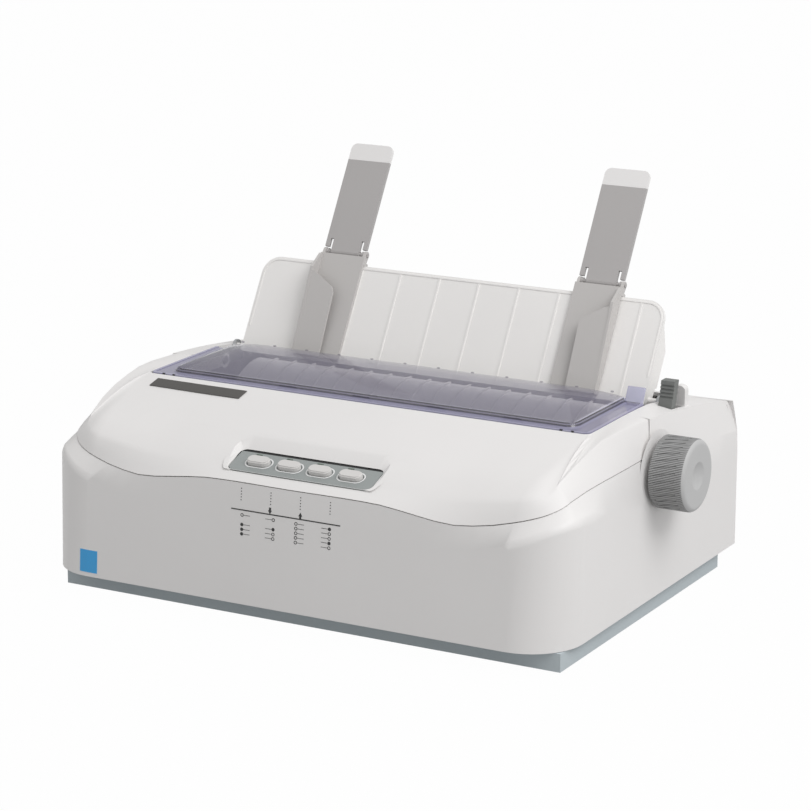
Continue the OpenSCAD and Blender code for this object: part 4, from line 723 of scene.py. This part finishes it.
class OBJECT_OT_printer_housing(bpy.types.Operator):
    """Case, front cover and base tray as closed shells with soft edges"""

    bl_idname = "object.printer_housing"
    bl_label = "Housing"

    def execute(self, context):
        for row in SHELLS["housing"]:
            if row[0] == "main_case":
                shell_of(*row, reshape=self.finish_case, keep_sharp=self.rear_corner)
            else:
                shell_of(*row)
        return {"FINISHED"}

    def rear_corner(self, place):
        """True in the two upper rear corners, whose short edges a bevel would cross."""
        return abs(place.x) > 0.180 and place.y > 0.120 and place.z > 0.100

    def finish_case(self, obj):
        """The three places where the case differs from its CAD node."""
        self.flatten_boss(obj)
        self.round_rear_corners(obj)
        self.soften_ledge(obj)

    def round_rear_corners(self, obj):
        """Turns the hollow arcs of the upper rear corners outwards, the inner one a wall further in."""
        roof_z, slack, wall_thickness = 0.112, -0.0001, 0.0025
        least, outer_arc, most = 0.003, 0.0045, 0.006
        for v in obj.data.vertices:
            in_x, in_y = CORNER_X - abs(v.co.x), CORNER_Y - v.co.y
            reach = math.hypot(in_x, in_y)
            if v.co.z > roof_z and in_x > slack and in_y > slack and least < reach < most:
                wall = wall_thickness if reach > outer_arc else 0.0
                v.co.x = math.copysign(CORNER_X - wall - (reach - in_y), v.co.x)
                v.co.y = CORNER_Y - wall - (reach - in_x)

    def soften_ledge(self, obj):
        """Rolls the crease under the ledge over at the two front corners."""
        middle_x, middle_y, inner_curve = 0.162, -0.107, 0.030
        picked = []
        for index, m in sharp_edges(obj, 26):
            near = 0.0845 < m.z < 0.0985 and abs(m.x) > 0.158 and m.y < -0.085
            if near and math.hypot(abs(m.x) - middle_x, m.y - middle_y) > inner_curve:
                picked.append(index)
        round_edges(obj, picked, 0.0035, 4, False)

    def flatten_boss(self, obj):
        """Lays the seat of the knob level with the side wall round it."""
        seat_x, side_x, level_x = 0.20015, 0.1965, 0.1972
        rim_inside, rim_outside = 0.0275, 0.0286
        wall, seat_top = [], []
        for v in obj.data.vertices:
            across, up = v.co.y - KNOB_Y, v.co.z - KNOB_Z
            reach, turn = math.hypot(across, up), math.atan2(up, across)
            if v.co.x > seat_x and reach < rim_outside:
                seat_top.append((v, turn, reach))
            elif v.co.x > side_x and rim_inside < reach < rim_outside:
                wall.append((turn, v.co.x))
        for v, turn, reach in seat_top:
            near = min(wall, key=lambda w: abs(math.remainder(w[0] - turn, math.tau)))
            v.co.x = near[1] + 0.00002 if reach > rim_inside else level_x


def limited(value):
    """The value kept between 0 and 1."""
    return min(max(value, 0.0), 1.0)


def window_height(x, y):
    """Upper face of the window: a flange, a step round it, and the dome."""
    corner, step_start, step_width = 0.016, 0.0058, 0.0034
    lip_height, step_height, dome_height = 0.0006, 0.0035, 0.0060
    crown_y, front_run, rear_run, rear_drop = 0.0214, 0.0570, 0.0206, 0.565
    side, front = WINDOW_HALF - abs(x), y - WINDOW_FRONT
    lip = lip_height if min(side, front) < LIP_WIDTH else 0.0
    side -= SIDE_STEP * limited((front + 0.02) / 0.03)
    if side < corner and front < corner:
        inset = corner - math.hypot(corner - side, corner - front)
    else:
        inset = min(side, front)
    rise = limited((inset - step_start) / step_width)
    rise = rise * rise * (3 - 2 * rise)
    if y < crown_y:
        dome = 1 - ((crown_y - y) / front_run) ** 2
    else:
        dome = 1 - rear_drop * ((y - crown_y) / rear_run) ** 2
    fall = limited((side - 0.0085) / 0.030)
    return DECK_Z + lip + rise * (step_height + dome_height * dome * (1 - (1 - fall) ** 2))


def placed_grid(name, xs, ys):
    """A grid whose rows and columns lie at given places."""
    nothing_selected()
    bpy.ops.mesh.primitive_grid_add(x_subdivisions=len(xs) - 1, y_subdivisions=len(ys) - 1, size=2)
    obj = bpy.context.object
    obj.name = name
    for v in obj.data.vertices:
        i = round((v.co.x + 1) / 2 * (len(xs) - 1))
        k = round((v.co.y + 1) / 2 * (len(ys) - 1))
        v.co.x, v.co.y = xs[i], ys[k]
    return obj


def rounded_block(size, place, radius, turn=0.0, segments=3):
    """A block with rounded edges, turned about X."""
    nothing_selected()
    bpy.ops.mesh.primitive_cube_add(size=1, location=place, rotation=(turn, 0, 0))
    obj = bpy.context.object
    obj.scale = size
    bpy.ops.object.transform_apply(location=False, rotation=False, scale=True)
    bevel = obj.modifiers.new("round", "BEVEL")
    bevel.width = radius
    bevel.segments = segments
    apply_modifiers(obj)
    return obj


class OBJECT_OT_printer_window(bpy.types.Operator):
    """Smoked window over the platen, with its flange, step, dome and lifting tab"""

    bl_idname = "object.printer_window"
    bl_label = "Window"

    # rows of the sheet in mm from its edges, close together where its step rises
    side_rows = (
        0, 0.7, 1.5, 2.2, 2.5, 4, 6, 8, 10, 11.4, 12, 12.8, 13.6, 14.4, 15.2, 16,
        18, 21, 25, 30, 36, 44, 60, 90, 130)
    front_rows = (
        0, 0.7, 1.5, 2.2, 2.5, 4, 5.4, 6, 6.8, 7.6, 8.4, 9.2, 10, 12, 15, 20, 26,
        33, 41, 49, 57, 66, 74, 81)

    def execute(self, context):
        sheet = self.sheet()
        tab = rounded_block((0.0135, 0.0018, 0.0135), (0.1650, 0.0433, 0.1417), 0.0008, math.radians(-26))
        pads = []
        for i in range(12):
            place = (-0.148 + 0.027 * i, WINDOW_REAR - 0.0015, 0.1437)
            pads.append(rounded_block((0.0022, 0.0012, 0.0012), place, 0.0004, segments=2))
        glass = joined([sheet, tab] + pads, "window_shell")
        seat(glass, "window", "window")
        bpy.ops.object.shade_smooth_by_angle(angle=math.radians(40))
        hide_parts("window_cover")
        clips = []
        for side in (-1, 1):
            for aside in (-0.0042, 0.0042):
                place = (side * (0.1565 + aside), WINDOW_FRONT + 0.0004, DECK_Z + 0.0002)
                clips.append(rounded_block((0.0024, 0.0009, 0.0014), place, 0.0003, segments=2))
        seat(joined(clips, "window_clips"), "black", "window")
        return {"FINISHED"}

    def sheet(self):
        """The moulded sheet, with its two front corners rounded."""
        left = [-WINDOW_HALF + row / 1000 for row in self.side_rows]
        xs = left + [0.0] + [-x for x in reversed(left)]
        ys = [WINDOW_FRONT + row / 1000 for row in self.front_rows] + [WINDOW_REAR - 0.002, WINDOW_REAR]
        sheet = placed_grid("window_shell", xs, ys)
        corner = 0.0055
        for v in sheet.data.vertices:
            v.co.z = window_height(v.co.x, v.co.y)
            side, front = WINDOW_HALF - abs(v.co.x), v.co.y - WINDOW_FRONT
            if side < corner and front < corner:
                reach = math.hypot(corner - side, corner - front)
                limit = max(corner - side, corner - front)
                pull = limit / reach if reach else 1.0
                v.co.x = math.copysign(WINDOW_HALF - corner + (corner - side) * pull, v.co.x)
                v.co.y = WINDOW_FRONT + corner - (corner - front) * pull
        solid = sheet.modifiers.new("thickness", "SOLIDIFY")
        solid.thickness = 0.002
        solid.offset = -1.0
        bevel = sheet.modifiers.new("edges", "BEVEL")
        bevel.width = 0.0004
        bevel.segments = 2
        bevel.limit_method = "ANGLE"
        bevel.angle_limit = math.radians(50)
        apply_modifiers(sheet)
        return sheet


class OBJECT_OT_printer_panel(bpy.types.Operator):
    """Panel plate, button caps, the printed rings round them and the lamps"""

    bl_idname = "object.printer_panel"
    bl_label = "Control panel"

    def execute(self, context):
        trim = context.scene.printer_trim
        for row in SHELLS["panel"]:
            shell_of(*row)
        place = Matrix.Translation((0, PANEL_Y, PANEL_Z)) @ Matrix.Rotation(PANEL_TILT, 4, "X")
        rings, lamps = [], []
        for i in range(4):
            x = (i - 1.5) * BUTTON_PITCH
            ring = self.ring(trim.ring_width)
            ring.matrix_world = place @ Matrix.Translation((x, 0.0103, 0.00008))
            rings.append(ring)
            lamp = rounded_block((0.0046, 0.0012, 0.0008), (0, 0, 0), 0.0003)
            lamp.matrix_world = place @ Matrix.Translation((x - 0.0045, 0.0190, 0.0001))
            lamps.append(lamp)
        rings = joined(rings, "printed_rings")
        seat(rings, "white_ink", "printer_body")
        solid = rings.modifiers.new("thickness", "SOLIDIFY")
        solid.thickness = 0.00006
        apply_modifiers(rings)
        seat(joined(lamps, "panel_lamps"), "lens", "printer_body")
        return {"FINISHED"}

    def ring(self, width, radius=0.0052, half_straight=0.0043):
        """A printed ring with round ends, flat in X-Y round the origin."""
        nothing_selected()
        bpy.ops.mesh.primitive_circle_add(vertices=40, radius=radius, fill_type="NOTHING")
        ring = bpy.context.object
        for v in ring.data.vertices:
            v.co.x += half_straight if v.co.x > 0 else -half_straight
        grown = (1 + width / (radius + half_straight), 1 + width / radius, 1)
        bpy.ops.object.mode_set(mode="EDIT")
        bpy.ops.mesh.select_all(action="SELECT")
        bpy.ops.mesh.extrude_edges_move()
        bpy.ops.transform.resize(value=grown)
        bpy.ops.mesh.select_all(action="SELECT")
        bpy.ops.mesh.normals_make_consistent(inside=False)
        bpy.ops.object.mode_set(mode="OBJECT")
        return ring


class OBJECT_OT_printer_guides(bpy.types.Operator):
    """Rear sheet guide, its two edge guides and the support arms"""

    bl_idname = "object.printer_guides"
    bl_label = "Sheet guide"

    def execute(self, context):
        for row in SHELLS["guides"]:
            obj = shell_of(*row)
            if row[0].startswith(("support_arm", "arm_tip")):
                self.shorten(obj)
        return {"FINISHED"}

    def shorten(self, obj, above=0.030, amount=0.0052):
        """Draws the end of an arm down its own slope, from a height above its hinge."""
        lean = math.radians(59.4)
        slope = Vector((0, math.cos(lean), math.sin(lean)))
        hinge = Vector((0, 0.105203, 0.202997))
        for v in obj.data.vertices:
            if (v.co - hinge).dot(slope) > above:
                v.co -= slope * amount


class OBJECT_OT_printer_controls(bpy.types.Operator):
    """Platen knob and release lever"""

    bl_idname = "object.printer_controls"
    bl_label = "Knob and lever"

    def execute(self, context):
        for row in SHELLS["controls"]:
            shell_of(*row)
        return {"FINISHED"}


class OBJECT_OT_printer_mechanism(bpy.types.Operator):
    """Finishes of the frame, carriage, platen, gears, tractors and boards"""

    bl_idname = "object.printer_mechanism"
    bl_label = "Mechanism"

    def execute(self, context):
        for node, finish in NODE_FINISH.items():
            dress(NODES[node], finish)
        return {"FINISHED"}


class OBJECT_OT_printer_marks(bpy.types.Operator):
    """Bare name plate, plain sticker, and the dots, arrows and rings printed on the front"""

    bl_idname = "object.printer_marks"
    bl_label = "Plate and prints"

    def execute(self, context):
        self.name_plate(context.scene.printer_trim)
        self.sticker()
        self.legend()
        return {"FINISHED"}

    def name_plate(self, trim):
        """A bare dark plate on the left of the cover."""
        cover = bpy.data.objects["cover_shell"]
        nothing_selected()
        bpy.ops.mesh.primitive_grid_add(
            x_subdivisions=30, y_subdivisions=6, size=1, location=(-0.12315, -0.059, 0.16))
        plate = bpy.context.object
        plate.name = "name_plate"
        plate.scale = (trim.plate_length, trim.plate_depth, 1)
        bpy.ops.object.transform_apply(location=False, rotation=False, scale=True)
        laid_on(plate, cover, 0.0002, 0.0005, "Z")
        seat(plate, "plate", "front_lid")
        bpy.ops.object.shade_smooth_by_angle(angle=math.radians(30))

    def sticker(self):
        """A coloured film on a slightly larger white one."""
        case = bpy.data.objects["case_shell"]
        middle_x, middle_z, width, height = -0.16025, 0.0259, 0.0145, 0.0158
        rows = (("sticker_border", "white_ink", "button_grey", 0.0014, 0.00003, 0.00006),
                ("blue_sticker", "blue", "panel_grey", 0.0, 0.00010, 0.00008))
        for name, finish, slot, border, gap, thickness in rows:
            nothing_selected()
            bpy.ops.mesh.primitive_grid_add(
                x_subdivisions=12, y_subdivisions=4, size=1, location=(middle_x, PRINT_Y, middle_z),
                rotation=(math.pi / 2, 0, 0))
            film = bpy.context.object
            film.name = name
            film.scale = (width + border, height + border, 1)
            laid_on(film, case, gap, thickness, "Z")
            seat(film, finish, "printer_body")

    def legend(self):
        """Dots under each button, feed arrows, a rule, and two blocks of rings and dots with short lines."""
        dot, dot_step = 0.0004, 0.00193
        disc, hole = 0.0012, 0.00075
        line_start, line_end, half_line = 0.0013, 0.0062, 0.00015
        parts = []
        for x in (-0.0382, -0.0152, 0.0077, 0.0305):
            for k in range(5):
                parts.append(flat_disc(x, 0.0942 - dot_step * k, dot, corners=12))
        parts += flat_arrow(-0.0155, 0.0820, False)
        parts += flat_arrow(0.0080, 0.0820, True)
        parts.append(flat_bar(-0.0457, 0.0386, 0.0793, 0.0801))
        # height of each row, and whether its left and right marks are full dots
        left = [(0.0763, 0, 0), (0.0698, 1, 1), (0.0665, 1, 0), (0.0634, 1, 0)]
        right = [(0.0763, 0, 1), (0.0731, 0, 0), (0.0699, 0, 0), (0.0668, 0, 1), (0.0636, 0, 0)]
        for rows, x0, x1 in ((left, -0.0370, -0.0126), (right, 0.0049, 0.0306)):
            for z, full0, full1 in rows:
                parts.append(flat_disc(x0, z, disc, 0.0 if full0 else hole))
                parts.append(flat_disc(x1, z, disc, 0.0 if full1 else hole))
                parts.append(flat_bar(x0 + line_start, x0 + line_end, z - half_line, z + half_line))
                parts.append(flat_bar(x1 - line_end, x1 - line_start, z - half_line, z + half_line))
        marks = joined(parts, "printed_marks")
        laid_on(marks, bpy.data.objects["case_shell"], 0.00006, 0.00005, "Y")
        seat(marks, "dark_ink", "printer_body")


class OBJECT_OT_printer_stage(bpy.types.Operator):
    """Pale floor, soft light and the camera"""

    bl_idname = "object.printer_stage"
    bl_label = "Stage"

    camera_place = (1.00095, -1.78905, 0.66638)
    lamp_place, lamp_aim, lamp_size = (1.55, -0.26, 1.91), (0.0, 0.0, 0.1), 1.5

    def execute(self, context):
        scene = context.scene
        s = scene.printer_stage
        scene.view_settings.view_transform = "Standard"
        self.floor()
        self.sky(scene, s)
        self.lamp("key_lamp", self.lamp_place, self.lamp_aim, self.lamp_size, s.key)
        self.camera(scene, s)
        return {"FINISHED"}

    def camera(self, scene, s):
        """The camera, at its place and turned to the printer."""
        a, e = s.azimuth, s.elevation
        back = Vector((math.sin(a) * math.cos(e), -math.cos(a) * math.cos(e), math.sin(e)))
        data = bpy.data.cameras.new("camera")
        data.sensor_width = 36
        data.lens = s.lens
        camera = bpy.data.objects.new("camera", data)
        scene.collection.objects.link(camera)
        camera.location = self.camera_place
        camera.rotation_mode = "QUATERNION"
        camera.rotation_quaternion = (-back).to_track_quat("-Z", "Y")
        scene.camera = camera

    def floor(self):
        """A floor that looks almost white to the camera and in reflections."""
        nothing_selected()
        bpy.ops.mesh.primitive_plane_add(size=12, location=(0, 0, -0.0002))
        floor = bpy.context.object
        floor.name = "floor"
        f = Finish("pale_floor", (0.46, 0.46, 0.46, 1.0), 0.9, Specular_IOR_Level=0.0)
        seen = f.node("ShaderNodeLightPath", {})
        glow = f.node("ShaderNodeEmission", {}, (1.0, 1.0, 1.0, 1.0), 1.0)
        amount = (seen.signal("Is Camera Ray") + seen.signal("Is Glossy Ray")).clamped() * 0.985
        mixed = f.node("ShaderNodeMixShader", {}, amount)
        f.tree.links.new(f.shader.outputs[0], mixed.made.inputs[1])
        f.tree.links.new(glow.made.outputs[0], mixed.made.inputs[2])
        f.tree.links.new(mixed.made.outputs[0], f.end.inputs[0])
        floor.data.materials.append(f.material)

    def sky(self, scene, s):
        """Even light from all sides, behind which the camera sees plain white."""
        world = bpy.data.worlds.new("studio")
        scene.world = world
        world.use_nodes = True
        tree = world.node_tree
        tree.nodes.clear()
        out = tree.nodes.new("ShaderNodeOutputWorld")
        path = tree.nodes.new("ShaderNodeLightPath")
        mixed = tree.nodes.new("ShaderNodeMixShader")
        tree.links.new(path.outputs["Is Camera Ray"], mixed.inputs[0])
        for socket, strength in ((1, s.sky), (2, 1.0)):
            glow = tree.nodes.new("ShaderNodeBackground")
            glow.inputs[0].default_value = (1.0, 1.0, 1.0, 1.0)
            glow.inputs[1].default_value = strength
            tree.links.new(glow.outputs[0], mixed.inputs[socket])
        tree.links.new(mixed.outputs[0], out.inputs[0])

    def lamp(self, name, place, aim, size, power):
        """A large square lamp that points at a place."""
        data = bpy.data.lights.new(name, "AREA")
        data.size = size
        data.energy = power
        lamp = bpy.data.objects.new(name, data)
        bpy.context.scene.collection.objects.link(lamp)
        lamp.location = place
        lamp.rotation_mode = "QUATERNION"
        lamp.rotation_quaternion = (Vector(aim) - Vector(place)).to_track_quat("-Z", "Y")


# ---------------------------------------------------------------- panel and start

OPERATORS = (
    OBJECT_OT_printer_housing,
    OBJECT_OT_printer_window,
    OBJECT_OT_printer_panel,
    OBJECT_OT_printer_guides,
    OBJECT_OT_printer_controls,
    OBJECT_OT_printer_mechanism,
    OBJECT_OT_printer_marks,
    OBJECT_OT_printer_stage,
)


class VIEW3D_PT_printer(bpy.types.Panel):
    """Buttons and sizes of the printer"""

    bl_label = "Dot matrix printer"
    bl_space_type = "VIEW_3D"
    bl_region_type = "UI"
    bl_category = "Printer"

    def draw(self, context):
        for group in (context.scene.printer_finish, context.scene.printer_trim, context.scene.printer_stage):
            box = self.layout.box()
            for name in group.__annotations__:
                box.prop(group, name)
        for operator in OPERATORS:
            self.layout.operator(operator.bl_idname)


SETTINGS = {
    "printer_finish": PrinterFinishSettings,
    "printer_trim": PrinterTrimSettings,
    "printer_stage": PrinterStageSettings,
}


def register():
    for cls in (*SETTINGS.values(), *OPERATORS, VIEW3D_PT_printer):
        bpy.utils.register_class(cls)
    for name, cls in SETTINGS.items():
        setattr(bpy.types.Scene, name, bpy.props.PointerProperty(type=cls))


def unregister():
    for name in SETTINGS:
        delattr(bpy.types.Scene, name)
    for cls in reversed((*SETTINGS.values(), *OPERATORS, VIEW3D_PT_printer)):
        bpy.utils.unregister_class(cls)


def main():
    """Builds every piece and the stage."""
    register()
    FINISH.update(make_finishes(bpy.context.scene.printer_finish))
    bpy.ops.object.printer_housing()
    bpy.ops.object.printer_window()
    bpy.ops.object.printer_panel()
    bpy.ops.object.printer_guides()
    bpy.ops.object.printer_controls()
    bpy.ops.object.printer_mechanism()
    bpy.ops.object.printer_marks()
    bpy.ops.object.printer_stage()


if __name__ == "__main__":
    main()
